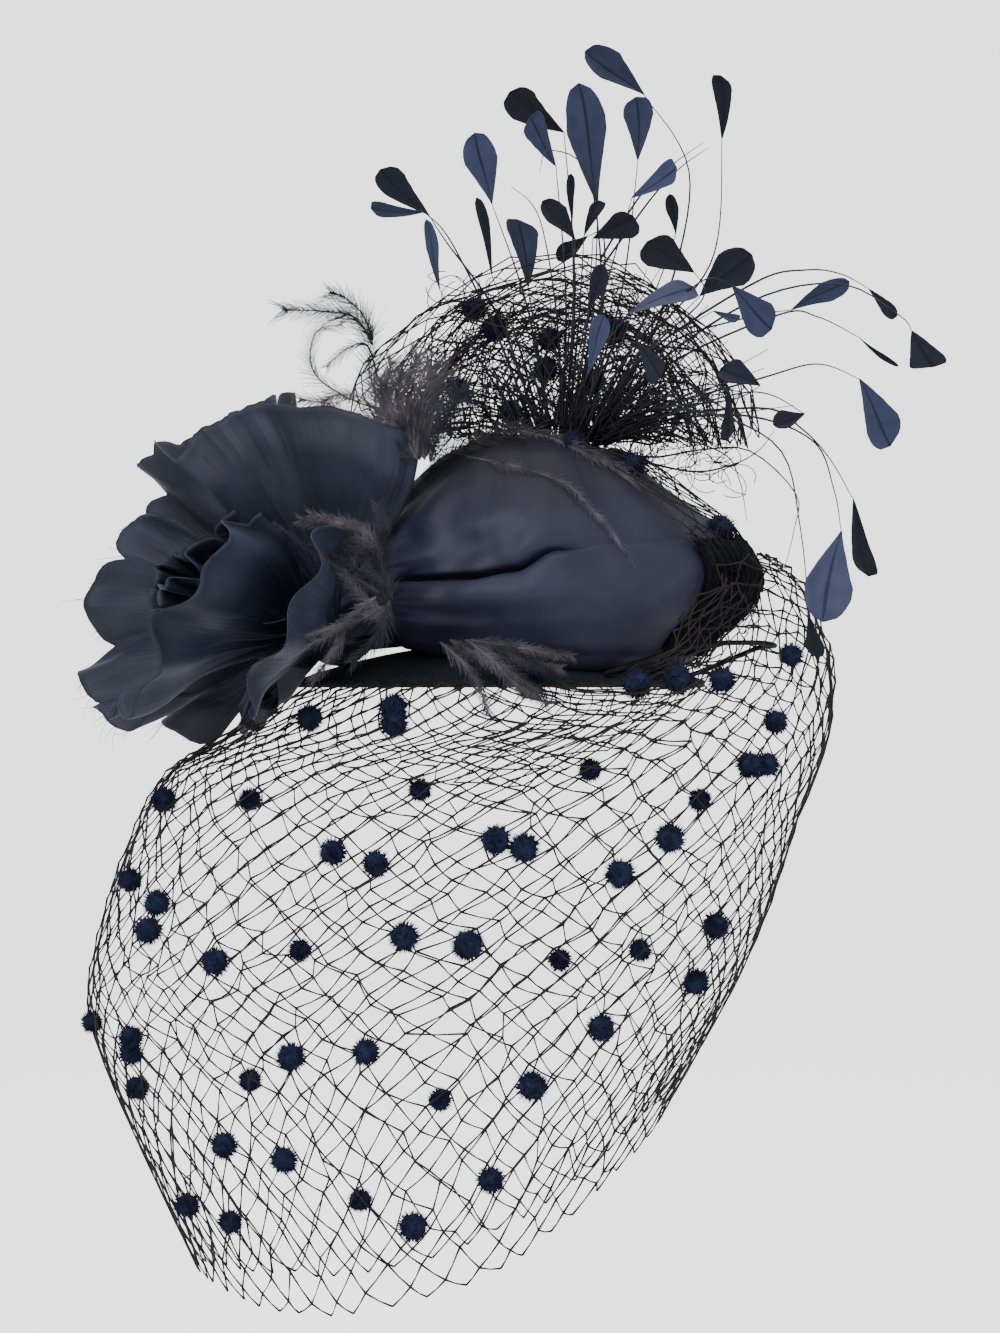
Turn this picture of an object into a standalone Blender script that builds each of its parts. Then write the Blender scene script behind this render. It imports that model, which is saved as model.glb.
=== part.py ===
"""Navy cocktail hat: silk crown and bloom, feather spray, bunched net and a dotted face veil.

The face looks towards -X and the wearer's left side towards -Y. The origin is where the hat sits
on the top of the head, under the middle of its base. Lengths are metres.
"""
import math

import bmesh
import bpy
from mathutils import Vector

GAP = 0.0003

# Felt base, a shallow oval dome
BASE_LENGTH = 0.150
BASE_WIDTH = 0.118
BASE_RISE = 0.014
BASE_WALL = 0.0025

# Silk crown, a hollow pouf that tucks in onto the base
CROWN_FRONT = 0.041
CROWN_BACK = 0.089
CROWN_WIDTH = 0.120
CROWN_HEIGHT = 0.078
CROWN_WALL = 0.002
CROWN_SIDES = 24
# Each row: height, front reach, back reach and half width as shares of the sizes above
CROWN_ROWS = (
    {"height": 0.00, "front": 0.78, "back": 0.70, "half": 0.78},
    {"height": 0.09, "front": 0.93, "back": 0.87, "half": 0.93},
    {"height": 0.21, "front": 1.00, "back": 0.98, "half": 1.00},
    {"height": 0.38, "front": 1.00, "back": 1.00, "half": 1.00},
    {"height": 0.57, "front": 0.97, "back": 0.88, "half": 0.92},
    {"height": 0.74, "front": 0.72, "back": 0.68, "half": 0.76},
    {"height": 0.90, "front": 0.42, "back": 0.50, "half": 0.52},
    {"height": 0.985, "front": 0.07, "back": 0.30, "half": 0.24},
)
# Each dent of the crown: angle from the back in degrees, height share, depth, and its two spreads
CROWN_DENTS = (
    {"angle": 150, "height": 0.62, "depth": 0.0045, "turn": 14, "rise": 0.25},
    {"angle": 108, "height": 0.50, "depth": 0.0040, "turn": 16, "rise": 0.12},
    {"angle": 62, "height": 0.66, "depth": 0.0035, "turn": 12, "rise": 0.22},
    {"angle": 205, "height": 0.55, "depth": 0.0040, "turn": 13, "rise": 0.28},
    {"angle": 262, "height": 0.60, "depth": 0.0040, "turn": 18, "rise": 0.20},
    {"angle": 318, "height": 0.52, "depth": 0.0035, "turn": 12, "rise": 0.25},
)

# Turned-up band round the foot of the crown
CUFF_WALL = 0.0015
CUFF_PROUD = 0.0016
CUFF_START_ANGLE = 45
CUFF_FOOT = 0.055
# Top edge of the band: angle in degrees and height share of the crown
CUFF_TOP = (
    {"angle": 45, "height": 0.48},
    {"angle": 90, "height": 0.36},
    {"angle": 135, "height": 0.30},
    {"angle": 180, "height": 0.26},
    {"angle": 270, "height": 0.34},
    {"angle": 315, "height": 0.48},
)

# Dark pleated trim on the back end of the crown
LACE_WALL = 0.0015
LACE_HALF_ANGLE = 26
LACE_PLEATS = 7
LACE_PLEAT_DEPTH = 0.0012
LACE_FOOT = 0.06
LACE_TOP = 0.53

# Bloom: a knot and petals that open from it round an axis that leans up from the front
KNOT_RADIUS = 0.012
KNOT_FRONT = 0.0575
KNOT_SIDE = 0.008
BLOOM_LEAN = 18
BLOOM_TURN = 24
PETAL_TILT = 5
PETAL_LENGTH = 0.098
PETAL_WALL = 0.0012
PETAL_RUFFLE = 0.0040
# Each petal: angle off the axis, turn round it from the top towards the wearer's left, half of
# its width in degrees, and its length as a share of PETAL_LENGTH. The upright one stands along the
# axis, so its broad face shows from the near side
PETALS = (
    {"name": "petal_back_top", "open": 84, "turn": 340, "half": 40, "length": 0.82},
    {"name": "petal_top", "open": 57, "turn": 330, "half": 42, "length": 0.90},
    {"name": "petal_top_near", "open": 52, "turn": 24, "half": 15, "length": 0.84,
     "tilt": -26, "taper": 0.06, "slope": 0.07, "upright": True},
    {"name": "petal_near", "open": 57, "turn": 102, "half": 42, "length": 0.84},
    {"name": "petal_low", "open": 57, "turn": 176, "half": 42, "length": 0.50},
    {"name": "petal_far", "open": 57, "turn": 256, "half": 44, "length": 0.80},
    {"name": "petal_mid_top", "open": 35, "turn": 322, "half": 42, "length": 0.92},
    {"name": "petal_mid_near", "open": 35, "turn": 128, "half": 68, "length": 1.00},
    {"name": "petal_mid_far", "open": 35, "turn": 246, "half": 60, "length": 0.94},
    {"name": "petal_heart_near", "open": 14, "turn": 100, "half": 70, "length": 0.76},
    {"name": "petal_heart_far", "open": 14, "turn": 260, "half": 84, "length": 0.68},
)
PETAL_ACROSS = 8
PETAL_ALONG = 4

# Fan of bunched netting behind the feathers
FAN_RADIUS = 0.061
FAN_ROOT = 0.026
FAN_DEPTH = 0.018
FAN_PLEAT = 0.005
FAN_MIDDLE = 0.020
FAN_BAND = 0.005
FAN_WALL = 0.0015
FAN_STRAND = 0.0032
FAN_COLUMNS = 5
FAN_ROWS = 5
FAN_LOW_ANGLE = 2
FAN_HIGH_ANGLE = 168

# Veil: a diamond net hung from the base
VEIL_WALL = 0.0015
VEIL_STRAND = 0.0032
VEIL_COLUMNS = 13
VEIL_FRONT = 0.148
VEIL_BACK = 0.119
VEIL_HALF_WIDTH = 0.100
VEIL_DROP = 0.222
VEIL_BAND = 0.004
VEIL_PANEL = 2
VEIL_TIER = 4
PANEL_GAP = 0.00035
VEIL_BACK_LIFT = 0.046
# Each row of crossings: reaches and half width as shares of the sizes above, the height of its
# front and back as shares of VEIL_DROP, how late the height turns from front to back, and how
# far its sides hang below that as a share of VEIL_DROP
VEIL_ROWS = (
    {"front": 0.66, "back": 0.91, "half": 0.78, "front_drop": 0.135, "back_drop": -0.110, "turn": 4.0, "sag": 0.0},
    {"front": 0.81, "back": 1.00, "half": 0.90, "front_drop": 0.20, "back_drop": 0.000, "turn": 3.0, "sag": 0.0},
    {"front": 0.90, "back": 1.00, "half": 0.97, "front_drop": 0.31, "back_drop": 0.13, "turn": 2.0, "sag": 0.0},
    {"front": 0.97, "back": 0.90, "half": 1.00, "front_drop": 0.45, "back_drop": 0.28, "turn": 1.5, "sag": 0.01},
    {"front": 1.00, "back": 0.82, "half": 0.98, "front_drop": 0.57, "back_drop": 0.41, "turn": 1.2, "sag": 0.03},
    {"front": 0.95, "back": 0.72, "half": 0.92, "front_drop": 0.69, "back_drop": 0.53, "turn": 1.0, "sag": 0.06},
    {"front": 0.85, "back": 0.60, "half": 0.84, "front_drop": 0.84, "back_drop": 0.64, "turn": 1.0, "sag": 0.11},
    {"front": 0.73, "back": 0.49, "half": 0.74, "front_drop": 1.00, "back_drop": 0.735, "turn": 1.0, "sag": 0.15},
)
DOT_RADIUS = 0.005
# Crossings that carry a chenille dot: row of the net and how many half columns round from the back
VEIL_DOTS = (
    (1, 2), (1, 3), (1, 5), (1, 6), (5, 1), (5, 2), (5, 3), (5, 4), (5, 5), (5, 6), (5, 7), (5, 9), (5, 11),
)

# Feather spray: stems with a trimmed blade at the tip, tied in one head on the crown
SPRAY_HEAD_RADIUS = 0.006
SPRAY_HEAD_HEIGHT = 0.007
SPRAY_AT_X = 0.022
SPRAY_AT_Y = -0.002
SPRAY_RISE = 0.138
SPRAY_REACH = 0.137
SPRAY_SPREAD = 0.052
STEM_RADIUS = 0.0008
ROOT_SPREAD = 0.55
BLADE_WALL = 0.0010
# Share along the blade and share of its full width there
BLADE_OUTLINE = ((0.30, 0.62), (0.75, 1.0), (1.0, 0.42))
# Each feather: where its blade starts and ends along X and Z and how far out it stands, as shares
# of SPRAY_REACH, SPRAY_RISE and SPRAY_SPREAD, the bow of its stem, and its blade's width
FEATHERS = (
    {"x": 0.21, "z": 0.85, "tip_x": 0.07, "tip_z": 0.99, "y": -0.10, "bow": 0.00, "wide": 0.015},
    {"x": -0.02, "z": 0.70, "tip_x": -0.14, "tip_z": 0.89, "y": 0.02, "bow": -0.04, "wide": 0.016},
    {"x": -0.03, "z": 0.74, "tip_x": -0.08, "tip_z": 0.83, "y": -0.22, "bow": -0.03, "wide": 0.009},
    {"x": 0.11, "z": 0.62, "tip_x": 0.02, "tip_z": 0.90, "y": -0.30, "bow": 0.00, "wide": 0.014},
    {"x": 0.22, "z": 0.70, "tip_x": 0.22, "tip_z": 0.87, "y": -0.44, "bow": 0.03, "wide": 0.010},
    {"x": 0.45, "z": 0.76, "tip_x": 0.46, "tip_z": 0.92, "y": -0.16, "bow": 0.05, "wide": 0.008},
    {"x": -0.20, "z": 0.62, "tip_x": -0.22, "tip_z": 0.78, "y": -0.34, "bow": -0.06, "wide": 0.012},
    {"x": -0.36, "z": 0.58, "tip_x": -0.49, "tip_z": 0.69, "y": -0.12, "bow": -0.08, "wide": 0.012},
    {"x": -0.37, "z": 0.56, "tip_x": -0.51, "tip_z": 0.585, "y": -0.30, "bow": -0.08, "wide": 0.007},
    {"x": -0.32, "z": 0.42, "tip_x": -0.37, "tip_z": 0.55, "y": -0.50, "bow": -0.05, "wide": 0.006},
    {"x": -0.12, "z": 0.44, "tip_x": -0.22, "tip_z": 0.60, "y": -0.62, "bow": -0.03, "wide": 0.006},
    {"x": -0.10, "z": 0.40, "tip_x": -0.10, "tip_z": 0.57, "y": -0.24, "bow": -0.02, "wide": 0.011},
    {"x": 0.04, "z": 0.51, "tip_x": -0.05, "tip_z": 0.64, "y": -0.52, "bow": 0.01, "wide": 0.012},
    {"x": 0.10, "z": 0.46, "tip_x": 0.07, "tip_z": 0.53, "y": -0.10, "bow": 0.01, "wide": 0.011},
    {"x": 0.10, "z": 0.56, "tip_x": 0.20, "tip_z": 0.59, "y": -0.68, "bow": 0.02, "wide": 0.011},
    {"x": 0.22, "z": 0.64, "tip_x": 0.37, "tip_z": 0.71, "y": -0.60, "bow": 0.04, "wide": 0.009},
    {"x": 0.30, "z": 0.50, "tip_x": 0.29, "tip_z": 0.63, "y": 0.00, "bow": 0.03, "wide": 0.005},
    {"x": 0.24, "z": 0.48, "tip_x": 0.38, "tip_z": 0.52, "y": -0.78, "bow": 0.03, "wide": 0.013},
    {"x": 0.19, "z": 0.34, "tip_x": 0.36, "tip_z": 0.40, "y": -0.42, "bow": 0.06, "wide": 0.010},
    {"x": 0.41, "z": 0.42, "tip_x": 0.52, "tip_z": 0.49, "y": -0.24, "bow": 0.06, "wide": 0.015},
    {"x": 0.46, "z": 0.43, "tip_x": 0.56, "tip_z": 0.35, "y": -0.64, "bow": 0.07, "wide": 0.014},
    {"x": 0.06, "z": 0.30, "tip_x": 0.10, "tip_z": 0.42, "y": -0.84, "bow": 0.00, "wide": 0.006},
    {"x": 0.09, "z": 0.18, "tip_x": 0.11, "tip_z": 0.31, "y": -0.98, "bow": 0.00, "wide": 0.007},
    {"x": 0.19, "z": 0.25, "tip_x": 0.26, "tip_z": 0.18, "y": -0.74, "bow": 0.04, "wide": 0.009},
    {"x": 0.62, "z": 0.39, "tip_x": 0.75, "tip_z": 0.44, "y": -0.06, "bow": 0.10, "wide": 0.009},
    {"x": 0.81, "z": 0.43, "tip_x": 0.89, "tip_z": 0.37, "y": -0.36, "bow": 0.14, "wide": 0.006},
    {"x": 0.90, "z": 0.33, "tip_x": 1.00, "tip_z": 0.25, "y": -0.54, "bow": 0.15, "wide": 0.012},
    {"x": 0.43, "z": 0.17, "tip_x": 0.53, "tip_z": 0.19, "y": -0.90, "bow": 0.10, "wide": 0.010},
    {"x": 0.42, "z": 0.07, "tip_x": 0.44, "tip_z": 0.14, "y": -0.70, "bow": 0.06, "wide": 0.005},
    {"x": 0.56, "z": 0.06, "tip_x": 0.63, "tip_z": 0.10, "y": -1.00, "bow": 0.10, "wide": 0.008},
    {"x": 0.78, "z": 0.18, "tip_x": 0.87, "tip_z": 0.01, "y": -0.80, "bow": 0.13, "wide": 0.013},
    {"x": 0.76, "z": -0.12, "tip_x": 0.80, "tip_z": -0.32, "y": -0.92, "bow": 0.20, "wide": 0.007},
    {"x": 0.72, "z": -0.20, "tip_x": 0.67, "tip_z": -0.43, "y": -1.04, "bow": 0.20, "wide": 0.014},
)

# Plumes that lie over the crown, stand up at its front and hang from its near edge
PLUME_WALL = 0.0012
PLUME_LIFT = 0.0012
TUFT_HEAD = 0.0030
# Crest plumes: angle and height share along the crown's skin, from the tied head outwards
CREST_NEAR = ((118, 0.97), (106, 0.86), (88, 0.78), (72, 0.66), (60, 0.54))
CREST_TOP = ((118, 0.97), (146, 0.90), (164, 0.80), (176, 0.68), (184, 0.60))
CREST_WIDE = 0.009
# Hackles: tip as X, Y and Z lengths from their head, and the width
HACKLES = (
    (-0.032, -0.006, 0.052, 0.007),
    (-0.022, 0.004, 0.046, 0.006),
    (-0.010, -0.012, 0.050, 0.010),
    (0.002, 0.002, 0.044, 0.010),
    (-0.030, -0.014, 0.028, 0.006),
    (0.010, -0.014, 0.034, 0.009),
)
HACKLE_ANGLE = 176
HACKLE_HEIGHT = 0.86
# Brush strands between bloom and crown, and below the near edge, in the same columns
FRONT_STRANDS = (
    (-0.004, -0.014, 0.050, 0.004),
    (0.001, -0.020, 0.044, 0.004),
    (-0.003, -0.024, 0.034, 0.004),
)
FRONT_TUFT_X = -0.039
FRONT_TUFT_Y = -0.036
LOW_STRANDS = (
    (-0.020, -0.026, -0.002, 0.004),
    (-0.006, -0.032, -0.006, 0.004),
    (0.008, -0.033, -0.007, 0.004),
    (0.018, -0.028, -0.004, 0.004),
)
LOW_TUFT_X = 0.008
LOW_TUFT_Y = -0.0525

# Wire loop at the back, inside the net
WIRE_RADIUS = 0.0009
WIRE_REACH = 0.0977
WIRE_LEVEL = 0.0015

COLOURS = {
    "silk": (0.020, 0.026, 0.058, 1.0),
    "felt": (0.012, 0.012, 0.018, 1.0),
    "lace": (0.008, 0.008, 0.010, 1.0),
    "net": (0.012, 0.010, 0.010, 1.0),
    "feather": (0.022, 0.030, 0.085, 1.0),
    "plume": (0.075, 0.070, 0.095, 1.0),
    "wire": (0.006, 0.006, 0.006, 1.0),
}
ROUGHNESS = {"silk": 0.5, "felt": 0.9, "lace": 0.7, "net": 0.7, "feather": 0.55, "plume": 0.8, "wire": 0.35}


def clear_scene():
    for thing in list(bpy.data.objects):
        bpy.data.objects.remove(thing, do_unlink=True)


def material_for(name, kind):
    material = bpy.data.materials.new(name)
    material.use_nodes = True
    shader = material.node_tree.nodes["Principled BSDF"]
    shader.inputs["Base Color"].default_value = COLOURS[kind]
    shader.inputs["Roughness"].default_value = ROUGHNESS[kind]
    shader.inputs["Metallic"].default_value = 0.8 if kind == "wire" else 0.0
    return material


def add_object(name, mesh, kind):
    thing = bpy.data.objects.new(name, mesh)
    bpy.context.scene.collection.objects.link(thing)
    mesh.materials.append(material_for(name, kind))
    return thing


def object_from(name, vertices, faces, kind):
    mesh = bpy.data.meshes.new(name)
    mesh.from_pydata([tuple(v) for v in vertices], [], faces)
    work = bmesh.new()
    work.from_mesh(mesh)
    bmesh.ops.recalc_face_normals(work, faces=work.faces)
    work.to_mesh(mesh)
    work.free()
    mesh.shade_smooth()
    return add_object(name, mesh, kind)


def thicken(thing, wall, offset=0.0):
    solid = thing.modifiers.new("Wall", "SOLIDIFY")
    solid.thickness = wall
    solid.offset = offset
    solid.use_even_offset = True


def grid_faces(across, along, closed=False):
    """Quads between rows of points, `across` points in a row when closed, else across + 1."""
    count = across if closed else across + 1
    faces = []
    for row in range(along):
        for column in range(across):
            right = (column + 1) % count
            faces.append((row * count + column, row * count + right,
                          (row + 1) * count + right, (row + 1) * count + column))
    return faces


def smooth_step(value):
    value = min(max(value, 0.0), 1.0)
    return value * value * (3.0 - 2.0 * value)


def base_top(x, y):
    share = (2 * x / BASE_LENGTH) ** 2 + (2 * y / BASE_WIDTH) ** 2
    return BASE_WALL - BASE_RISE * share


def make_base():
    """Oval dome with the head's curve below."""
    rings = 4
    sides = 28
    upper = [Vector((0, 0, base_top(0, 0)))]
    for ring in range(1, rings + 1):
        for side in range(sides):
            turn = math.tau * side / sides
            x = BASE_LENGTH / 2 * ring / rings * math.cos(turn)
            y = BASE_WIDTH / 2 * ring / rings * math.sin(turn)
            upper.append(Vector((x, y, base_top(x, y))))
    lower = [point - Vector((0, 0, BASE_WALL)) for point in upper]
    faces = []
    for side in range(sides):
        right = (side + 1) % sides
        faces.append((0, 1 + side, 1 + right))
        for ring in range(rings - 1):
            start = 1 + ring * sides
            faces.append((start + side, start + sides + side, start + sides + right, start + right))
    shift = len(upper)
    faces += [tuple(index + shift for index in reversed(face)) for face in faces]
    edge = 1 + (rings - 1) * sides
    for side in range(sides):
        right = (side + 1) % sides
        faces.append((edge + side, edge + shift + side, edge + shift + right, edge + right))
    return object_from("hat_base", upper + lower, faces, "felt")


def read_row(rows, key, share):
    """Value of a column at a share of the way through the rows."""
    place = share * (len(rows) - 1)
    low = min(int(place), len(rows) - 2)
    part = place - low
    return rows[low][key] * (1 - part) + rows[low + 1][key] * part


def crown_row_at(height):
    """Share of the way through the crown's rows where it reaches a height share."""
    for index in range(len(CROWN_ROWS) - 1):
        low = CROWN_ROWS[index]["height"]
        high = CROWN_ROWS[index + 1]["height"]
        if height <= high:
            return (index + (height - low) / (high - low)) / (len(CROWN_ROWS) - 1)
    return 1.0


def crown_point(angle, height, out=0.0):
    """Point on the crown's skin; angle in degrees from the back towards the wearer's left."""
    share = crown_row_at(height)
    front = -CROWN_FRONT * read_row(CROWN_ROWS, "front", share)
    back = CROWN_BACK * read_row(CROWN_ROWS, "back", share)
    half = CROWN_WIDTH / 2 * read_row(CROWN_ROWS, "half", share)
    for dent in CROWN_DENTS:
        across = (angle - dent["angle"]) / dent["turn"]
        up = (height - dent["height"]) / dent["rise"]
        out -= dent["depth"] * math.exp(-across * across - up * up)
    turn = math.radians(angle)
    x = (front + back) / 2 + ((back - front) / 2 + out) * math.cos(turn)
    y = -(half + out) * math.sin(turn)
    foot = base_top(x, y) + GAP
    lift = smooth_step(height / CROWN_ROWS[1]["height"])
    z = foot * (1 - lift) + CROWN_HEIGHT * height * lift
    return Vector((x, y, z))


def crown_seat(angle, height, stand_off):
    """Place at a distance straight out from the crown's skin."""
    here = crown_point(angle, height)
    round_way = crown_point(angle + 2, height) - here
    up_way = crown_point(angle, height + 0.01) - here
    outward = up_way.cross(round_way).normalized()
    if outward.z < 0:
        outward = -outward
    return here + outward * stand_off


def make_crown():
    """Hollow silk pouf, open below where it meets the base."""
    sides = CROWN_SIDES
    points = []
    for row in CROWN_ROWS:
        points += [crown_point(360 * side / sides, row["height"]) for side in range(sides)]
    faces = grid_faces(sides, len(CROWN_ROWS) - 1, closed=True)
    last = (len(CROWN_ROWS) - 1) * sides
    middle = Vector((0, 0, 0))
    for side in range(sides):
        middle += points[last + side] / sides
    points.append(Vector((middle.x, middle.y, CROWN_HEIGHT)))
    for side in range(sides):
        faces.append((last + side, last + (side + 1) % sides, len(points) - 1))
    crown = object_from("silk_crown", points, faces, "silk")
    thicken(crown, CROWN_WALL, -1.0)
    return crown


def cuff_top_at(angle):
    for low, high in zip(CUFF_TOP, CUFF_TOP[1:]):
        if angle <= high["angle"]:
            part = (angle - low["angle"]) / (high["angle"] - low["angle"])
            return low["height"] + (high["height"] - low["height"]) * smooth_step(part)
    return CUFF_TOP[-1]["height"]


def make_cuff():
    """Turned-up band just off the crown's skin, open at the back for the trim."""
    across = CROWN_SIDES - 2 * round(CROWN_SIDES * CUFF_START_ANGLE / 360)
    fold = CROWN_ROWS[2]["height"]
    rows = ((CUFF_FOOT, 0.0), (CROWN_ROWS[1]["height"], 0.0), (fold, 0.0), (fold, 0.6), (fold, 1.0))
    points = []
    for height, rise in rows:
        for column in range(across + 1):
            angle = CUFF_START_ANGLE + (360 - 2 * CUFF_START_ANGLE) * column / across
            place = height + (cuff_top_at(angle) - height) * rise
            out = 2 * GAP + CUFF_WALL / 2 + CUFF_PROUD * rise
            points.append(crown_point(angle, place, out))
    cuff = object_from("silk_cuff", points, grid_faces(across, len(rows) - 1), "silk")
    thicken(cuff, CUFF_WALL)
    return cuff


def make_lace():
    """Pleated trim on the crown's back end."""
    across = LACE_PLEATS * 2
    along = 3
    points = []
    for row in range(along + 1):
        for column in range(across + 1):
            angle = -LACE_HALF_ANGLE + 2 * LACE_HALF_ANGLE * column / across
            height = LACE_FOOT + (LACE_TOP - LACE_FOOT) * row / along
            pleat = LACE_PLEAT_DEPTH * (1 - math.cos(math.pi * column))
            points.append(crown_point(angle, height, 3 * GAP + LACE_WALL / 2 + pleat))
    lace = object_from("end_lace", points, grid_faces(across, along), "lace")
    thicken(lace, LACE_WALL)
    return lace


def knot_centre():
    """Centre of the knot, its radius and the gap above the base along the base's slope."""
    x = -KNOT_FRONT
    y = -KNOT_SIDE
    slope_x = 8 * BASE_RISE * x / BASE_LENGTH ** 2
    slope_y = 8 * BASE_RISE * y / BASE_WIDTH ** 2
    steep = math.sqrt(1 + slope_x ** 2 + slope_y ** 2)
    return Vector((x, y, base_top(x, y) + (KNOT_RADIUS + GAP) * steep))


def ball(name, centre, radius, kind, sides=12, rings=8):
    work = bmesh.new()
    bmesh.ops.create_uvsphere(work, u_segments=sides, v_segments=rings, radius=radius)
    bmesh.ops.translate(work, verts=work.verts, vec=centre)
    mesh = bpy.data.meshes.new(name)
    work.to_mesh(mesh)
    work.free()
    mesh.shade_smooth()
    return add_object(name, mesh, kind)


def dot(name, centre, radius):
    work = bmesh.new()
    bmesh.ops.create_icosphere(work, subdivisions=1, radius=radius)
    bmesh.ops.translate(work, verts=work.verts, vec=centre)
    mesh = bpy.data.meshes.new(name)
    work.to_mesh(mesh)
    work.free()
    return add_object(name, mesh, "feather")


def bloom_direction(open_angle, turn_angle):
    lean = math.radians(BLOOM_LEAN)
    swing = math.radians(BLOOM_TURN)
    axis = Vector((-math.cos(lean) * math.cos(swing), -math.cos(lean) * math.sin(swing), math.sin(lean)))
    top = Vector((math.sin(lean) * math.cos(swing), math.sin(lean) * math.sin(swing), math.cos(lean)))
    near = Vector((math.sin(swing), -math.cos(swing), 0))
    opened = math.radians(open_angle)
    turn = math.radians(turn_angle)
    return axis * math.cos(opened) + (top * math.cos(turn) + near * math.sin(turn)) * math.sin(opened)


def make_petal(row):
    """Sheet that opens from the knot; every petal shares one ruffle, so no two of them cross."""
    centre = knot_centre()
    start = KNOT_RADIUS + GAP
    points = []
    for step in range(PETAL_ALONG + 1):
        for column in range(PETAL_ACROSS + 1):
            side = 2 * column / PETAL_ACROSS - 1
            scallop = 0.04 * math.cos(2.5 * math.pi * side)
            taper = row.get("taper", 0.24) * abs(side) ** 3 + row.get("slope", 0.0) * side
            end = PETAL_LENGTH * row["length"] * (1 - taper + scallop)
            part = step / PETAL_ALONG
            reach = start + (end - start) * part
            narrow = 0.55 + 0.45 * smooth_step(part * 1.6)
            turn = row["turn"] + row["half"] * side * narrow
            far = reach / PETAL_LENGTH
            ruffle = PETAL_RUFFLE * far * far * math.sin(math.radians(turn) * 7 + far * 3)
            curl = 0.0060 * far * far
            if "upright" in row:
                opened = row["open"] - row["tilt"] * side * narrow
                turn -= math.degrees((ruffle + curl) / (reach * math.sin(math.radians(opened))))
            else:
                opened = row["open"] - PETAL_TILT * side + math.degrees((ruffle + curl) / reach)
            points.append(centre + bloom_direction(opened, turn) * reach)
    petal = object_from(row["name"], points, grid_faces(PETAL_ACROSS, PETAL_ALONG), "silk")
    thicken(petal, PETAL_WALL)
    return petal


def draw_in(work):
    """Move a panel's border in from its neighbours, square to each border edge."""
    inward = {}
    for edge in work.edges:
        if len(edge.link_faces) != 1:
            continue
        ahead = (edge.verts[1].co - edge.verts[0].co).normalized()
        middle = (edge.verts[0].co + edge.verts[1].co) / 2
        toward = edge.link_faces[0].calc_center_median() - middle
        toward = (toward - ahead * toward.dot(ahead)).normalized()
        for vertex in edge.verts:
            inward.setdefault(vertex, []).append(toward)
    for vertex, ways in inward.items():
        total = Vector((0, 0, 0))
        for way in ways:
            total += way
        corner = max(total.length, 0.7)
        vertex.co += total * (2 * PANEL_GAP / corner ** 2)


def net_from(name, crossings, columns, rows, closed, strand, wall, kind, panel=None):
    """Diamond net with its top row gathered solid: crossings maps (row, half column) to a point.

    A panel holds only the cells of one sector and tier, drawn in a little from its neighbours.
    """
    keys = sorted(crossings)
    index = {key: number for number, key in enumerate(keys)}
    solid_faces = []
    open_faces = []
    half_columns = 2 * columns

    def corner(row, column):
        return index.get((row, column % half_columns if closed else column))

    def belongs(row, column):
        return panel is None or (column // VEIL_PANEL, row >= VEIL_TIER) == panel

    for column in range(0, half_columns, 2):
        if belongs(0, column):
            solid_faces.append((corner(0, column), corner(0, column + 1), corner(0, column + 2),
                                corner(1, column + 1)))
    for column in range(half_columns):
        if belongs(0, column):
            solid_faces.append((corner(-1, column), corner(-1, column + 1), corner(0, column + 1),
                                corner(0, column)))
    for row in range(1, rows):
        for column in range(0, half_columns + 1):
            if (row + column) % 2 == 0 or (closed and column == half_columns) or not belongs(row, column):
                continue
            cell = (corner(row - 1, column), corner(row, column + 1), corner(row + 1, column),
                    corner(row, column - 1) if closed or column else None)
            if None not in cell:
                open_faces.append(cell)
    mesh = bpy.data.meshes.new(name)
    mesh.from_pydata([tuple(crossings[key]) for key in keys], [], solid_faces + open_faces)
    work = bmesh.new()
    work.from_mesh(mesh)
    bmesh.ops.delete(work, geom=[vertex for vertex in work.verts if not vertex.link_faces], context="VERTS")
    bmesh.ops.recalc_face_normals(work, faces=work.faces)
    work.faces.ensure_lookup_table()
    if panel is not None:
        draw_in(work)
    cells = [face for face in work.faces if face.index >= len(solid_faces)]
    bmesh.ops.inset_individual(work, faces=cells, thickness=strand / 2, use_even_offset=True)
    bmesh.ops.delete(work, geom=cells, context="FACES")
    loose = [vertex for vertex in work.verts if not vertex.link_faces]
    bmesh.ops.delete(work, geom=loose, context="VERTS")
    work.to_mesh(mesh)
    work.free()
    mesh.shade_smooth()
    net = add_object(name, mesh, kind)
    thicken(net, wall)
    return net


def make_net_fan():
    """Pleated fan of netting that rises from a short line on the crown."""
    crossings = {}
    half_columns = 2 * FAN_COLUMNS
    for row in range(-1, FAN_ROWS + 1):
        for column in range(half_columns + 1):
            if row > 0 and (row + column) % 2:
                continue
            across = column / half_columns
            angle = math.radians(FAN_HIGH_ANGLE + (FAN_LOW_ANGLE - FAN_HIGH_ANGLE) * across)
            out = max(row, 0) / FAN_ROWS
            root_x = FAN_MIDDLE + FAN_ROOT * (across - 0.5)
            root_z = crown_top_at(root_x, FAN_DEPTH) + FAN_WALL / 2 + GAP
            radius = FAN_RADIUS * out
            pleat = FAN_PLEAT * math.cos(math.pi * column) * out
            lift = FAN_BAND * (min(row, 0) + 1)
            crossings[(row, column)] = Vector((
                root_x + radius * math.cos(angle),
                FAN_DEPTH + pleat + FAN_DEPTH * smooth_step(out) * 0.8,
                root_z + lift + radius * math.sin(angle)))
    return net_from("net_pouf", crossings, FAN_COLUMNS, FAN_ROWS, False, FAN_STRAND, FAN_WALL, "net")


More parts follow.
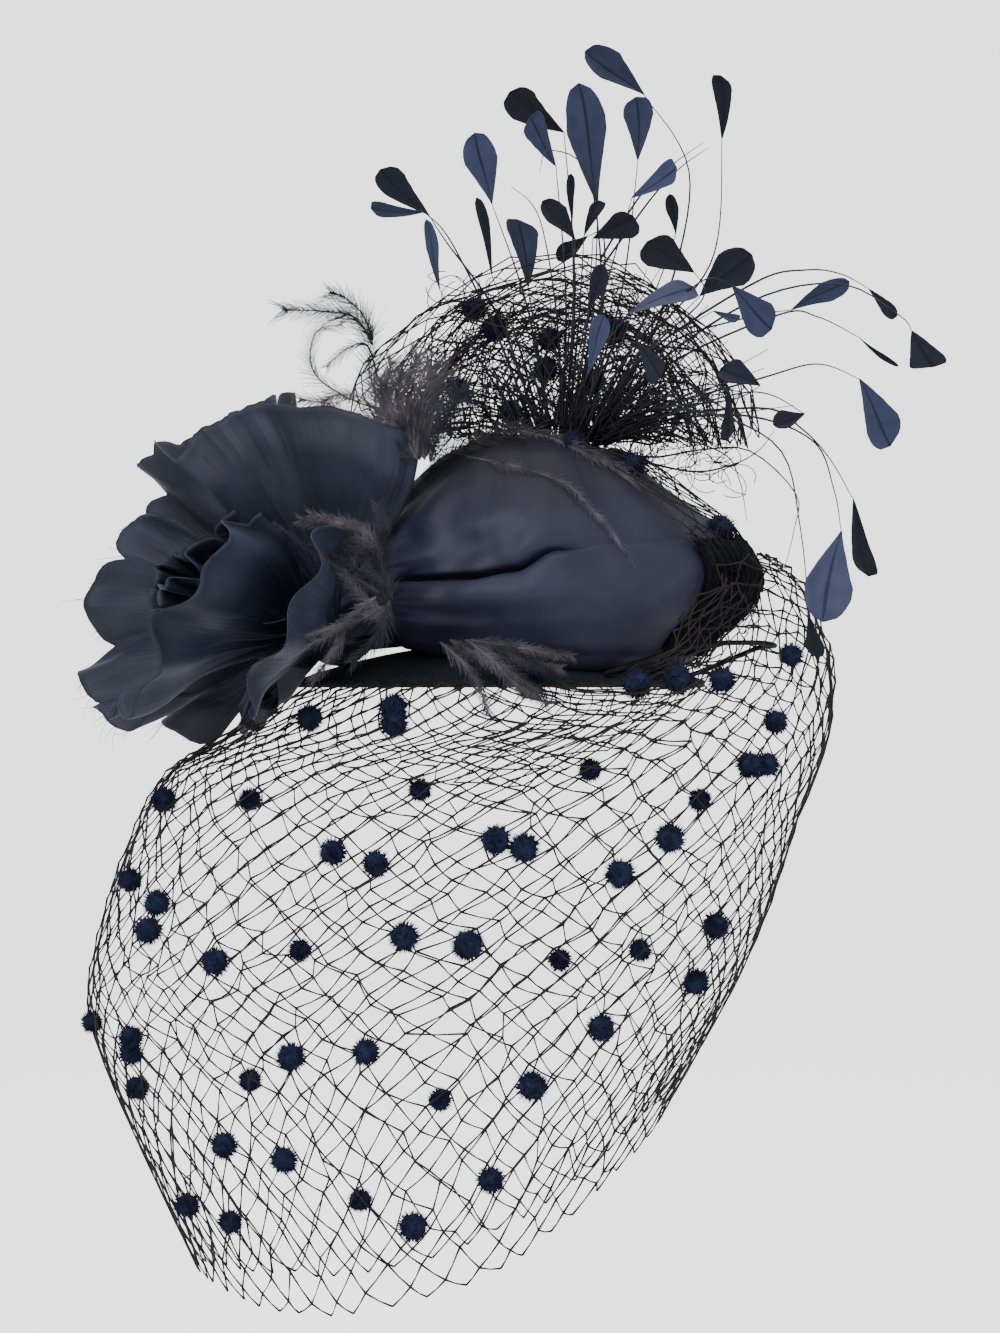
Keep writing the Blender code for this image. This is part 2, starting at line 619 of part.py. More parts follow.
def crown_top_at(x, y):
    """Height of the crown's skin above a place near its top."""
    best = CROWN_HEIGHT
    for step in range(200):
        height = 1.0 - step / 400
        share = crown_row_at(min(height, CROWN_ROWS[-1]["height"]))
        front = -CROWN_FRONT * read_row(CROWN_ROWS, "front", share)
        back = CROWN_BACK * read_row(CROWN_ROWS, "back", share)
        half = CROWN_WIDTH / 2 * read_row(CROWN_ROWS, "half", share)
        place = ((x - (front + back) / 2) / ((back - front) / 2)) ** 2 + (y / half) ** 2
        if place <= 1:
            best = CROWN_HEIGHT * height
            break
    return best


def crown_reach(turn, height):
    """Distance from the hat's axis to the crown's skin in a direction, at a height share."""
    share = crown_row_at(height)
    front = -CROWN_FRONT * read_row(CROWN_ROWS, "front", share)
    back = CROWN_BACK * read_row(CROWN_ROWS, "back", share)
    half = CROWN_WIDTH / 2 * read_row(CROWN_ROWS, "half", share)
    middle = (front + back) / 2
    long_half = (back - front) / 2
    cos = math.cos(turn)
    sin = math.sin(turn)
    a = (cos / long_half) ** 2 + (sin / half) ** 2
    b = -2 * cos * middle / long_half ** 2
    c = (middle / long_half) ** 2 - 1
    return (-b + math.sqrt(b * b - 4 * a * c)) / (2 * a)


def veil_ring(turn, down):
    """Gathered top edge: round the rim of the base, and up behind the crown's back end."""
    lift = smooth_step((math.cos(turn) - 0.55) / 0.4)
    z = base_top(BASE_LENGTH / 2, 0) + (VEIL_BACK_LIFT - base_top(BASE_LENGTH / 2, 0)) * lift * 0.8 - down
    a = BASE_LENGTH / 2
    b = BASE_WIDTH / 2
    rim = a * b / math.hypot(b * math.cos(turn), a * math.sin(turn))
    half_step = math.pi / (2 * VEIL_COLUMNS)
    reach = (rim + 2 * GAP + VEIL_WALL / 2) / math.cos(half_step) ** 2
    if lift > 0:
        trim = 2 * LACE_PLEAT_DEPTH + LACE_WALL + 12 * GAP + VEIL_WALL
        behind = crown_reach(turn, CROWN_ROWS[2]["height"]) + trim
        reach += max(behind - reach, 0.0) * smooth_step(4 * lift)
    return Vector((reach * math.cos(turn), -reach * math.sin(turn), z))


def veil_crossing(row, turn):
    if row <= 0:
        return veil_ring(turn, VEIL_BAND if row == 0 else 0.0)
    shape = VEIL_ROWS[row - 1]
    cos = math.cos(turn)
    sin = math.sin(turn)
    front = VEIL_FRONT * shape["front"]
    back = VEIL_BACK * shape["back"]
    toward_back = ((1 + cos) / 2) ** shape["turn"]
    drop = shape["front_drop"] + (shape["back_drop"] - shape["front_drop"]) * toward_back
    drop += shape["sag"] * sin * sin
    x = (back - front) / 2 + (back + front) / 2 * math.copysign(abs(cos) ** 0.9, cos)
    y = -VEIL_HALF_WIDTH * shape["half"] * math.copysign(abs(sin) ** 0.9, sin)
    return Vector((x, y, -VEIL_DROP * drop))


def make_veil():
    """Coarse net hung from the rim, with the chenille dots fused to its crossings."""
    crossings = {}
    rows = len(VEIL_ROWS)
    half_columns = 2 * VEIL_COLUMNS
    for row in range(-1, rows + 1):
        for column in range(half_columns):
            if row > 0 and (row + column) % 2:
                continue
            crossings[(row, column)] = veil_crossing(row, math.tau * column / half_columns)
    panels = []
    for tier in (False, True):
        for sector in range(half_columns // VEIL_PANEL):
            name = ("veil_lower_" if tier else "veil_upper_") + f"{sector + 1:02d}"
            panel = net_from(name, crossings, VEIL_COLUMNS, rows, True, VEIL_STRAND, VEIL_WALL, "net",
                             (sector, tier))
            dots = []
            for row, dot_sector in VEIL_DOTS:
                if dot_sector != sector or (row >= VEIL_TIER) != tier:
                    continue
                first = sector * VEIL_PANEL
                row += (row + first + 1) % 2
                ends = crossings[(row, first + 1)], crossings[(row + 1, first)]
                dots.append(dot("veil_dot", (ends[0] + ends[1]) / 2, DOT_RADIUS))
            if dots:
                fuse(panel, dots)
            panels.append(panel)
    return panels


def fuse(body, pieces):
    """Join overlapping closed pieces to a body; the pieces stay hidden as guides."""
    group = bpy.data.collections.new(body.name + "_pieces")
    bpy.context.scene.collection.children.link(group)
    for piece in pieces:
        for owner in list(piece.users_collection):
            owner.objects.unlink(piece)
        group.objects.link(piece)
        piece.hide_render = True
        piece.display_type = "WIRE"
    joined = body.modifiers.new("Fuse", "BOOLEAN")
    joined.operation = "UNION"
    joined.operand_type = "COLLECTION"
    joined.collection = group


def strip(name, path, widths, wall, side, kind, round_middle=None):
    """Closed blade or stem: a four-cornered section swept along a path.

    Its width lies along `side`, or flat round a middle that the path goes about.
    """
    points = []
    last = len(path) - 1
    for index, place in enumerate(path):
        ahead = path[min(index + 1, last)] - path[max(index - 1, 0)]
        ahead.normalize()
        if round_middle is not None:
            side = (place - round_middle).cross(ahead)
        across = side - ahead * side.dot(ahead)
        across.normalize()
        up = ahead.cross(across)
        wide = widths[index] / 2
        thick = min(wall, widths[index]) / 2
        points += [place + across * wide, place + up * thick, place - across * wide, place - up * thick]
    faces = [(3, 2, 1, 0)]
    for index in range(last):
        for side_index in range(4):
            right = (side_index + 1) % 4
            start = index * 4
            faces.append((start + side_index, start + right, start + 4 + right, start + 4 + side_index))
    end = last * 4
    faces.append((end, end + 1, end + 2, end + 3))
    return object_from(name, points, faces, kind)


def bezier(start, bend, end, part):
    rest = 1 - part
    return start * rest * rest + bend * (2 * rest * part) + end * (part * part)


def make_feather(number, row, foot):
    """Bare stem that bows to the blade, then a trimmed blade cut off at its tip."""
    spot = SPRAY_HEAD_RADIUS * ROOT_SPREAD
    depth = SPRAY_HEAD_HEIGHT * (0.40 + 0.25 * (number % 5) / 5)
    root = foot + Vector((spot * (1.6 * row["x"] - 0.5), spot * (1 + 2 * row["y"]), depth))
    neck = foot + Vector((SPRAY_REACH * row["x"], SPRAY_SPREAD * row["y"], SPRAY_RISE * row["z"]))
    tip = foot + Vector((SPRAY_REACH * row["tip_x"], SPRAY_SPREAD * row["y"] * 1.06, SPRAY_RISE * row["tip_z"]))
    bend = (root + neck) / 2 + Vector((-0.2 * row["bow"] * SPRAY_REACH, 0, abs(row["bow"]) * SPRAY_RISE * 1.6))
    bend.y = root.y + (neck.y - root.y) * 0.6
    path = [bezier(root, bend, neck, step / 4) for step in range(5)]
    widths = [2 * STEM_RADIUS] * 4 + [1.6 * STEM_RADIUS]
    for part, share in BLADE_OUTLINE:
        path.append(neck + (tip - neck) * part)
        widths.append(row["wide"] * share)
    blade = (tip - neck).normalized()
    side = blade.cross(Vector((0, 1, 0)))
    return strip("feather", path, widths, BLADE_WALL, side, "feather")


def make_spray():
    foot = Vector((SPRAY_AT_X, SPRAY_AT_Y, crown_top_at(SPRAY_AT_X, SPRAY_AT_Y) + GAP))
    work = bmesh.new()
    bmesh.ops.create_cone(work, cap_ends=True, segments=10, radius1=SPRAY_HEAD_RADIUS,
                          radius2=SPRAY_HEAD_RADIUS * 0.6, depth=SPRAY_HEAD_HEIGHT)
    bmesh.ops.translate(work, verts=work.verts, vec=foot + Vector((0, 0, SPRAY_HEAD_HEIGHT / 2)))
    mesh = bpy.data.meshes.new("feather_spray")
    work.to_mesh(mesh)
    work.free()
    spray = add_object("feather_spray", mesh, "feather")
    fuse(spray, [make_feather(number, row, foot) for number, row in enumerate(FEATHERS)])
    return spray


def tuft(name, head_at, strands, kind, hang=0.35):
    """Strips that bow out of a small tied head."""
    head = ball(name, head_at, TUFT_HEAD, kind, 8, 6)
    pieces = []
    for x, y, z, wide in strands:
        end = head_at + Vector((x, y, z))
        root = head_at + Vector((x, y, z)).normalized() * TUFT_HEAD * 0.55
        bend = head_at + Vector((x * hang, y * hang, z * 0.6 + abs(x) * 0.3 + abs(y) * 0.25))
        path = [bezier(root, bend, end, step / 4) for step in range(5)]
        widths = [0.0016, wide * 0.8, wide, wide * 0.9, wide * 0.3]
        side = (end - head_at).cross(Vector((0, 1, 0.2)))
        pieces.append(strip("strand", path, widths, PLUME_WALL, side, kind))
    fuse(head, pieces)
    return head


def make_crest():
    """Two plumes that lie on the crown's skin, fused at their tied head."""
    out = PLUME_LIFT + PLUME_WALL
    start = crown_seat(*CREST_NEAR[0], TUFT_HEAD + GAP)
    head = ball("crest_plume", start, TUFT_HEAD, "plume", 8, 6)
    middle = Vector(((CROWN_BACK - CROWN_FRONT) / 2, 0, CROWN_HEIGHT / 3))
    pieces = []
    for route in (CREST_NEAR, CREST_TOP):
        path = []
        for low, high in zip(route, route[1:]):
            for part in (0.5, 1.0):
                angle = low[0] + (high[0] - low[0]) * part
                height = low[1] + (high[1] - low[1]) * part
                path.append(crown_point(angle, height, out * 2) + Vector((0, 0, out * 2)))
        path.insert(0, start + (path[0] - start).normalized() * TUFT_HEAD * 0.5)
        widths = [0.002] + [CREST_WIDE] * (len(path) - 2) + [CREST_WIDE * 0.3]
        pieces.append(strip("plume", path, widths, PLUME_WALL, None, "plume", middle))
    fuse(head, pieces)
    return head


def make_wire():
    """Wire bent in a flat loop, both ends on the base under the crown's edge."""
    near_x = BASE_LENGTH * 0.24
    near_y = -BASE_WIDTH * 0.405
    far_x = BASE_LENGTH * 0.455
    far_y = -BASE_WIDTH * 0.10
    seat = WIRE_RADIUS + 2 * GAP
    turn_y = (near_y + far_y) / 2 + 0.004
    route = (
        Vector((near_x, near_y, base_top(near_x, near_y) + seat)),
        Vector((near_x + 0.012, near_y + 0.001, base_top(near_x, near_y) + seat + 0.004)),
        Vector((near_x + (WIRE_REACH - near_x) * 0.51, near_y + 0.008, WIRE_LEVEL)),
        Vector((WIRE_REACH - 0.008, turn_y - 0.010, WIRE_LEVEL + 0.001)),
        Vector((WIRE_REACH, turn_y, WIRE_LEVEL)),
        Vector((WIRE_REACH - 0.006, turn_y + 0.009, WIRE_LEVEL - 0.001)),
        Vector((far_x + 0.010, far_y - 0.001, base_top(far_x, far_y) + seat + 0.004)),
        Vector((far_x, far_y, base_top(far_x, far_y) + seat)),
    )
    curve = bpy.data.curves.new("wire_loop", "CURVE")
    curve.dimensions = "3D"
    curve.bevel_depth = WIRE_RADIUS
    curve.bevel_resolution = 1
    curve.use_fill_caps = True
    points = []
    for index in range(len(route) - 1):
        before = route[max(index - 1, 0)]
        after = route[min(index + 2, len(route) - 1)]
        for step in range(3):
            points.append(curve_between(before, route[index], route[index + 1], after, step / 3))
    points.append(route[-1])
    spline = curve.splines.new("POLY")
    spline.points.add(len(points) - 1)
    for point, place in zip(spline.points, points):
        point.co = (place.x, place.y, place.z, 1)
    wire = bpy.data.objects.new("wire_loop", curve)
    bpy.context.scene.collection.objects.link(wire)
    curve.materials.append(material_for("wire_loop", "wire"))
    return wire


def curve_between(before, start, end, after, part):
    """Smooth curve through the points of a route."""
    square = part * part
    cube = square * part
    return 0.5 * (2 * start + (end - before) * part + (2 * before - 5 * start + 4 * end - after) * square
                  + (3 * start - before - 3 * end + after) * cube)


def main():
    clear_scene()
    make_base()
    make_crown()
    make_cuff()
    make_lace()
    ball("flower_core", knot_centre(), KNOT_RADIUS, "silk")
    for row in PETALS:
        make_petal(row)
    make_net_fan()
    make_spray()
    make_crest()
    hackle_at = crown_seat(HACKLE_ANGLE, HACKLE_HEIGHT, TUFT_HEAD + GAP)
    tuft("hackle_plume", hackle_at, HACKLES, "plume")
    front_at = Vector((FRONT_TUFT_X, FRONT_TUFT_Y, base_top(FRONT_TUFT_X, FRONT_TUFT_Y) + TUFT_HEAD * 1.1))
    tuft("grey_tuft_front", front_at, FRONT_STRANDS, "plume")
    low_at = Vector((LOW_TUFT_X, LOW_TUFT_Y, base_top(LOW_TUFT_X, LOW_TUFT_Y) + TUFT_HEAD * 1.1))
    tuft("grey_tuft_low", low_at, LOW_STRANDS, "plume")
    make_wire()
    make_veil()


main()
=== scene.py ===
"""Looks of the navy cocktail hat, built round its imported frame. Lengths are metres."""
import math

import bmesh
import bpy
import numpy as np
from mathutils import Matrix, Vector, noise
from mathutils.bvhtree import BVHTree


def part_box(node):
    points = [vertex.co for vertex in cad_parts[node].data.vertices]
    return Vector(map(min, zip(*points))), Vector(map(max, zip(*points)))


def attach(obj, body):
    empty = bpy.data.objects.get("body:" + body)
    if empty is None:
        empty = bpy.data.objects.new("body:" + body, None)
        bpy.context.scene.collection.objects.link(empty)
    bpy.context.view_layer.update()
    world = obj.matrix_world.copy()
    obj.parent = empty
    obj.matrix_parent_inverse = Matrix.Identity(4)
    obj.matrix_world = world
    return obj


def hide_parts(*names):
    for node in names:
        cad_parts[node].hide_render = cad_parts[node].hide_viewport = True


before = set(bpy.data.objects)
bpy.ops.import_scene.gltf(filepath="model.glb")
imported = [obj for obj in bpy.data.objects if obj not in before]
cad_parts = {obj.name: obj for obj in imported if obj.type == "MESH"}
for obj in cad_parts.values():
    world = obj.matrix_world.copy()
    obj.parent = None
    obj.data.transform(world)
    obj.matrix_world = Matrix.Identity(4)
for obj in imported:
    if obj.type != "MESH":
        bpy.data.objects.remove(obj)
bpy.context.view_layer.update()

# The photo's height in pixels, what one of them measures on the hat and where the hat sits in it
PHOTO_HEIGHT = 1333
PIXEL = 0.00036
SEAT_PIXEL_X = 500
SEAT_PIXEL_Y = 650
CAMERA_AWAY = 2.2
SENSOR = 36.0
EYE_LEVEL = (SEAT_PIXEL_Y - PHOTO_HEIGHT / 2) * PIXEL

# Round floor under the hat, with a cove that turns up into a plain wall
FLOOR_LEVEL = -0.300
FLOOR_FLAT = 4.5
FLOOR_COVE = 1.5
WALL_TOP = 3.5

# Walls of the cloth pieces, radii of threads and dots, and seeds of the random draws
CROWN_CLOTH = 0.0011
CUFF_CLOTH = 0.0007
LACE_CLOTH = 0.0006
GATHER_CLOTH = 0.0006
PETAL_CLOTH = 0.00034
VANE_WALL = 0.00028
NET_THREAD = 0.00026
NET_KNOT = 0.00042
FAN_THREAD = 0.00028
DOT_RADIUS = 0.0056
FAR_DOT_RADIUS = 0.0054
BUNCH_DOT_OFF = 0.0050
LACE_SEED = 53
FRAY_SEED = 29
VEIL_SEED = 11
OVERLAP_SEED = 61
DOT_SEED = 5
FAN_SEED = 30
LOOP_SEED = 41
SWATH_SEED = 50
STUB_SEED = 77


def node_size(name):
    low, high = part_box(name)
    return Vector(low), Vector(high)


BASE_LOW, BASE_HIGH = node_size("hat_base")
CROWN_LOW, CROWN_HIGH = node_size("silk_crown")
VEIL_PANELS = sorted(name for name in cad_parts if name.startswith("veil"))
SPRAY_LOW, SPRAY_HIGH = node_size("feather_spray")
FAN_LOW, FAN_HIGH = node_size("net_pouf")
KNOT_LOW, KNOT_HIGH = node_size("flower_core")

BASE_LONG = BASE_HIGH.x
BASE_WIDE = BASE_HIGH.y
BASE_WALL = BASE_HIGH.z
BASE_RISE = -BASE_LOW.z
CROWN_FRONT = -CROWN_LOW.x
CROWN_BACK = CROWN_HIGH.x
CROWN_HALF = (CROWN_HIGH.y - CROWN_LOW.y) / 2
CROWN_TOP = CROWN_HIGH.z
KNOT = (KNOT_LOW + KNOT_HIGH) / 2
KNOT_RADIUS = (KNOT_HIGH.z - KNOT_LOW.z) / 2


def in_photo(px, py, depth=0.0):
    """Place that the camera sees at a pixel of the photo, at a depth along Y."""
    scale = (CAMERA_AWAY + depth) / CAMERA_AWAY
    x = (px - SEAT_PIXEL_X) * PIXEL * scale
    z = EYE_LEVEL + ((SEAT_PIXEL_Y - py) * PIXEL - EYE_LEVEL) * scale
    return Vector((x, depth, z))


def smooth_step(value):
    value = min(max(value, 0.0), 1.0)
    return value * value * (3.0 - 2.0 * value)


def catmull(points, place):
    """Point of a smooth curve through a list of points, at a place counted in points."""
    last = len(points) - 1
    index = min(max(int(place), 0), last - 1)
    part = place - index
    a = points[max(index - 1, 0)]
    b = points[index]
    c = points[index + 1]
    d = points[min(index + 2, last)]
    return 0.5 * ((2 * b) + (c - a) * part + (2 * a - 5 * b + 4 * c - d) * part ** 2
                  + (3 * b - a - 3 * c + d) * part ** 3)


# Pieces

def link_object(name, data):
    thing = bpy.data.objects.new(name, data)
    bpy.context.scene.collection.objects.link(thing)
    return thing


def link_mesh(name, vertices, faces, material):
    mesh = bpy.data.meshes.new(name)
    mesh.from_pydata(vertices, [], faces)
    mesh.materials.append(material)
    mesh.shade_smooth()
    return link_object(name, mesh)


def settle(piece, replaces):
    """Lets a piece ride with the hat and stand for CAD nodes."""
    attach(piece, "root")
    if replaces:
        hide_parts(*replaces)
    return piece


def new_piece(name, vertices, faces, material, replaces, slot):
    return settle(link_mesh(name, vertices, faces, material), replaces)


def joined_piece(name, shapes, material, replaces, slot):
    return new_piece(name, *join_shapes(shapes), material, replaces, slot)


def primitive_piece(name, material):
    """Takes over the primitive that was just added."""
    piece = bpy.context.object
    piece.name = name
    piece.data.name = name
    piece.data.materials.append(material)
    return piece


def select_only(piece):
    bpy.ops.object.select_all(action="DESELECT")
    piece.select_set(True)
    bpy.context.view_layer.objects.active = piece


def set_outward(piece):
    """Turns a closed piece's faces outwards."""
    work = bmesh.new()
    work.from_mesh(piece.data)
    bmesh.ops.recalc_face_normals(work, faces=work.faces)
    work.to_mesh(piece.data)
    work.free()


def give_wall(piece, wall, offset=0.0):
    solid = piece.modifiers.new("Wall", "SOLIDIFY")
    solid.thickness = wall
    solid.offset = offset
    solid.use_even_offset = False
    select_only(piece)
    bpy.ops.object.modifier_apply(modifier=solid.name)
    piece.data.shade_smooth()


def grid_faces(across, along, closed=False):
    count = across if closed else across + 1
    faces = []
    for row in range(along):
        for column in range(across):
            right = (column + 1) % count
            faces.append((row * count + column, row * count + right,
                          (row + 1) * count + right, (row + 1) * count + column))
    return faces


def add_uv(piece, values):
    """UV map from one pair of numbers for each vertex."""
    layer = piece.data.uv_layers.new(name="UVMap")
    corners = np.empty(len(piece.data.loops), np.int32)
    piece.data.loops.foreach_get("vertex_index", corners)
    layer.data.foreach_set("uv", np.asarray(values, np.float32)[corners].ravel())


def unit(vectors):
    """Vectors scaled to a length of 1."""
    return vectors / np.maximum(np.linalg.norm(vectors, axis=-1, keepdims=True), 1e-9)


def tubes(lines, radii, sides=4):
    """Vertices and faces of closed tubes along polylines that all have as many points."""
    lines = np.asarray(lines, float)
    count, steps = lines.shape[:2]
    ahead = unit(np.gradient(lines, axis=1))
    guide = np.zeros_like(ahead)
    guide[..., 2] = 1.0
    steep = np.abs(ahead[..., 2]) > 0.9
    guide[steep] = (1.0, 0.0, 0.0)
    first = unit(np.cross(ahead, guide))
    for step in range(1, steps):
        turned = (first[:, step] * first[:, step - 1]).sum(axis=1) < 0
        first[turned, step] *= -1
    second = np.cross(ahead, first)
    radii = np.broadcast_to(np.asarray(radii, float), (count, steps))
    rings = []
    for side in range(sides):
        turn = math.tau * side / sides
        rings.append(lines + (first * math.cos(turn) + second * math.sin(turn)) * radii[..., None])
    vertices = np.stack(rings, axis=2).reshape(-1, 3)
    start = (np.arange(count)[:, None] * steps + np.arange(steps - 1)[None, :]).ravel() * sides
    quads = []
    for side in range(sides):
        right = (side + 1) % sides
        corners = (side, right, sides + right, sides + side)
        quads.append(np.stack([start + corner for corner in corners], axis=1))
    faces = np.concatenate(quads).tolist()
    ends = np.arange(count) * steps * sides
    tops = ends + (steps - 1) * sides
    faces += (ends[:, None] + np.arange(sides)[::-1][None, :]).tolist()
    faces += (tops[:, None] + np.arange(sides)[None, :]).tolist()
    return vertices, faces


def join_shapes(shapes):
    """One list of vertices and one of faces from several shapes."""
    vertices = []
    faces = []
    for points, sides in shapes:
        shift = len(vertices)
        vertices.extend([tuple(p) for p in points])
        faces.extend([tuple(i + shift for i in face) for face in sides])
    return vertices, faces


# Materials

def feed(tree, node, inputs):
    """Sets each named input of a node to a value, or links it to another node's socket."""
    for key, value in inputs.items():
        if isinstance(value, bpy.types.NodeSocket):
            tree.links.new(value, node.inputs[key])
        else:
            node.inputs[key].default_value = value


def add_node(tree, kind, inputs=None, **settings):
    node = tree.nodes.new("ShaderNode" + kind)
    for key, value in settings.items():
        setattr(node, key, value)
    feed(tree, node, inputs or {})
    return node


def maths(tree, operation, *values):
    """Result of a Math node on values or sockets, in their order."""
    return add_node(tree, "Math", dict(enumerate(values)), operation=operation).outputs[0]


def object_place(tree):
    return add_node(tree, "TexCoord").outputs["Object"]


def uv_place(tree):
    return add_node(tree, "UVMap", uv_map="UVMap").outputs["UV"]


def clouds(tree, place, scale, detail=3.0):
    return add_node(tree, "TexNoise", {"Vector": place, "Scale": scale, "Detail": detail}).outputs["Fac"]


def ranged(tree, value, from_min, from_max, to_min, to_max, **settings):
    limits = {"From Min": from_min, "From Max": from_max, "To Min": to_min, "To Max": to_max}
    return add_node(tree, "MapRange", {"Value": value, **limits}, **settings).outputs["Result"]


def colour_ramp(tree, source, stops):
    ramp = add_node(tree, "ValToRGB", {"Fac": source})
    while len(ramp.color_ramp.elements) < len(stops):
        ramp.color_ramp.elements.new(0.5)
    for element, (place, colour) in zip(ramp.color_ramp.elements, stops):
        element.position = place
        element.color = (*colour, 1.0)
    return ramp.outputs["Color"]


def bump_onto(tree, node, height, strength, distance):
    """Bump that bends the normal that a shader or a finer bump takes."""
    bump = add_node(tree, "Bump", {"Height": height, "Strength": strength, "Distance": distance})
    feed(tree, node, {"Normal": bump.outputs["Normal"]})
    return bump


def weave_group():
    """Fine over-and-under threads with a slow change of shade."""
    group = bpy.data.node_groups.new("fine_weave", "ShaderNodeTree")
    taken = (("Vector", "Vector", (0, 0, 0)), ("Threads", "Float", 2400.0), ("Cloud", "Float", 40.0))
    for label, kind, value in taken:
        socket = group.interface.new_socket(label, in_out="INPUT", socket_type="NodeSocket" + kind)
        socket.default_value = value
    for label in ("Height", "Shade"):
        group.interface.new_socket(label, in_out="OUTPUT", socket_type="NodeSocketFloat")
    start = group.nodes.new("NodeGroupInput")
    place = start.outputs["Vector"]
    scaled = add_node(group, "VectorMath", {0: place, "Scale": start.outputs["Threads"]}, operation="SCALE")
    waves = []
    for direction in ("X", "Z"):
        bands = {"Vector": scaled.outputs[0], "Scale": 0.16, "Distortion": 0.6, "Detail": 1.0}
        wave = add_node(group, "TexWave", bands, wave_type="BANDS", bands_direction=direction)
        waves.append(wave.outputs["Fac"])
    shade = clouds(group, place, start.outputs["Cloud"], 4.0)
    end = group.nodes.new("NodeGroupOutput")
    feed(group, end, {"Height": maths(group, "MULTIPLY", *waves), "Shade": shade})
    return group


def base_material(name, roughness, gloss=0.14):
    material = bpy.data.materials.new(name)
    material.use_nodes = True
    shader = material.node_tree.nodes["Principled BSDF"]
    feed(material.node_tree, shader, {"Roughness": roughness, "Specular IOR Level": gloss})
    return material, material.node_tree, shader


def gather_bump(tree, fine):
    """Creases that run out from the knot along each petal and die away toward its edge."""
    place = uv_place(tree)
    stretch = add_node(tree, "VectorMath", {0: place, 1: (13.0, 1.4, 1.0)}, operation="MULTIPLY")
    outward = add_node(tree, "SeparateXYZ", {"Vector": place}).outputs["Y"]
    lines = clouds(tree, stretch.outputs["Vector"], 1.0, 4.0)
    height = maths(tree, "MULTIPLY", lines, ranged(tree, outward, 0.1, 1.0, 1.0, 0.25))
    bump_onto(tree, fine, height, 0.8, 0.0030)


def painted_shade_top(tree, place, colour):
    """Painted shade: the crown's silk is coloured darker on top, where the bunch of net shades it."""
    level = add_node(tree, "SeparateXYZ", {"Vector": place}).outputs["Z"]
    # share of painted shade, growing toward the crown's top
    rise = ranged(tree, level, 0.034, 0.070, 0.0, 0.70, interpolation_type="SMOOTHSTEP")
    shades = {"Factor": rise, "A": colour, "B": (0.007, 0.007, 0.010, 1.0)}
    return add_node(tree, "Mix", shades, data_type="RGBA").outputs["Result"]


def silk_material(name, weave, dark, light, sheen, gathers=False):
    material, tree, shader = base_material(name, 0.50, 0.24)
    place = object_place(tree)
    cloth = add_node(tree, "Group", {"Vector": place, "Threads": 5200.0, "Cloud": 38.0}, node_tree=weave)
    colour = colour_ramp(tree, cloth.outputs["Shade"], ((0.30, dark), (0.72, light)))
    fine = bump_onto(tree, shader, cloth.outputs["Height"], 0.25, 0.0002)
    # painted shade: on the crown's silk the colour darkens toward the top, where the net bunch shades it
    feed(tree, shader, {"Sheen Weight": sheen, "Sheen Roughness": 0.45, "Sheen Tint": (0.30, 0.36, 0.60, 1.0),
                        "Base Color": colour if gathers else painted_shade_top(tree, place, colour)})
    if gathers:
        gather_bump(tree, fine)
    return material


def cloudy_material(name, dark, light, scale, roughness, detail=3.0, stops=(0.30, 0.72), gloss=0.14,
                    bump=(0.3, 0.0002)):
    """Plain matt material whose shade changes from place to place."""
    material, tree, shader = base_material(name, roughness, gloss)
    cloud = clouds(tree, object_place(tree), scale, detail)
    feed(tree, shader, {"Base Color": colour_ramp(tree, cloud, tuple(zip(stops, (dark, light))))})
    if bump:
        bump_onto(tree, shader, cloud, *bump)
    return material


def feather_material():
    """Dyed vane: barbs run slantwise from the dark rib, lighter on some blades."""
    material, tree, shader = base_material("dyed_feather", 0.55)
    split = add_node(tree, "SeparateXYZ", {"Vector": uv_place(tree)})
    away = maths(tree, "ABSOLUTE", split.outputs["Y"])
    slant = maths(tree, "MULTIPLY_ADD", away, -0.45, split.outputs["X"])
    barbs = maths(tree, "SINE", maths(tree, "MULTIPLY", slant, 330.0))
    tint = add_node(tree, "Attribute", attribute_name="tint").outputs["Fac"]
    mottled = maths(tree, "MULTIPLY_ADD", clouds(tree, object_place(tree), 160.0), 0.25, tint)
    barred = maths(tree, "MULTIPLY_ADD", barbs, 0.035, mottled)
    rib = ranged(tree, away, 0.03, 0.13, -0.30, 0.0, interpolation_type="SMOOTHSTEP")
    colour = colour_ramp(tree, maths(tree, "ADD", barred, rib), (
        (0.08, (0.004, 0.005, 0.009)), (0.34, (0.010, 0.013, 0.028)),
        (0.66, (0.030, 0.039, 0.084)), (1.00, (0.085, 0.092, 0.150))))
    feed(tree, shader, {"Base Color": colour, "Sheen Weight": 0.06})
    bump_onto(tree, shader, barbs, 0.35, 0.0003)
    return material


WEAVE = weave_group()
SILK = silk_material("navy_silk", WEAVE, (0.008, 0.009, 0.020), (0.020, 0.021, 0.046), 0.05)
PETAL_SILK = silk_material("petal_silk", WEAVE, (0.007, 0.009, 0.017), (0.021, 0.025, 0.045), 0.07, True)
FELT = cloudy_material("dark_felt", (0.006, 0.007, 0.011), (0.016, 0.017, 0.026), 900.0, 0.92,
                       detail=6.0, stops=(0.35, 0.70), bump=(0.6, 0.0004))
NET = cloudy_material("net_thread", (0.010, 0.009, 0.010), (0.026, 0.022, 0.022), 60.0, 0.75)
LACE = cloudy_material("dark_lace", (0.002, 0.002, 0.003), (0.008, 0.008, 0.011), 420.0, 0.9)
CHENILLE = cloudy_material("chenille", (0.004, 0.005, 0.014), (0.014, 0.020, 0.055), 260.0, 0.95)
PLUME = cloudy_material("grey_plume", (0.036, 0.033, 0.040), (0.150, 0.140, 0.158), 110.0, 0.8)
DARK_PLUME = cloudy_material("dark_hackle", (0.008, 0.008, 0.012), (0.050, 0.048, 0.064), 90.0, 0.7)
STEM = cloudy_material("bare_stem", (0.010, 0.010, 0.014), (0.040, 0.038, 0.050), 80.0, 0.5)
VANE = feather_material()
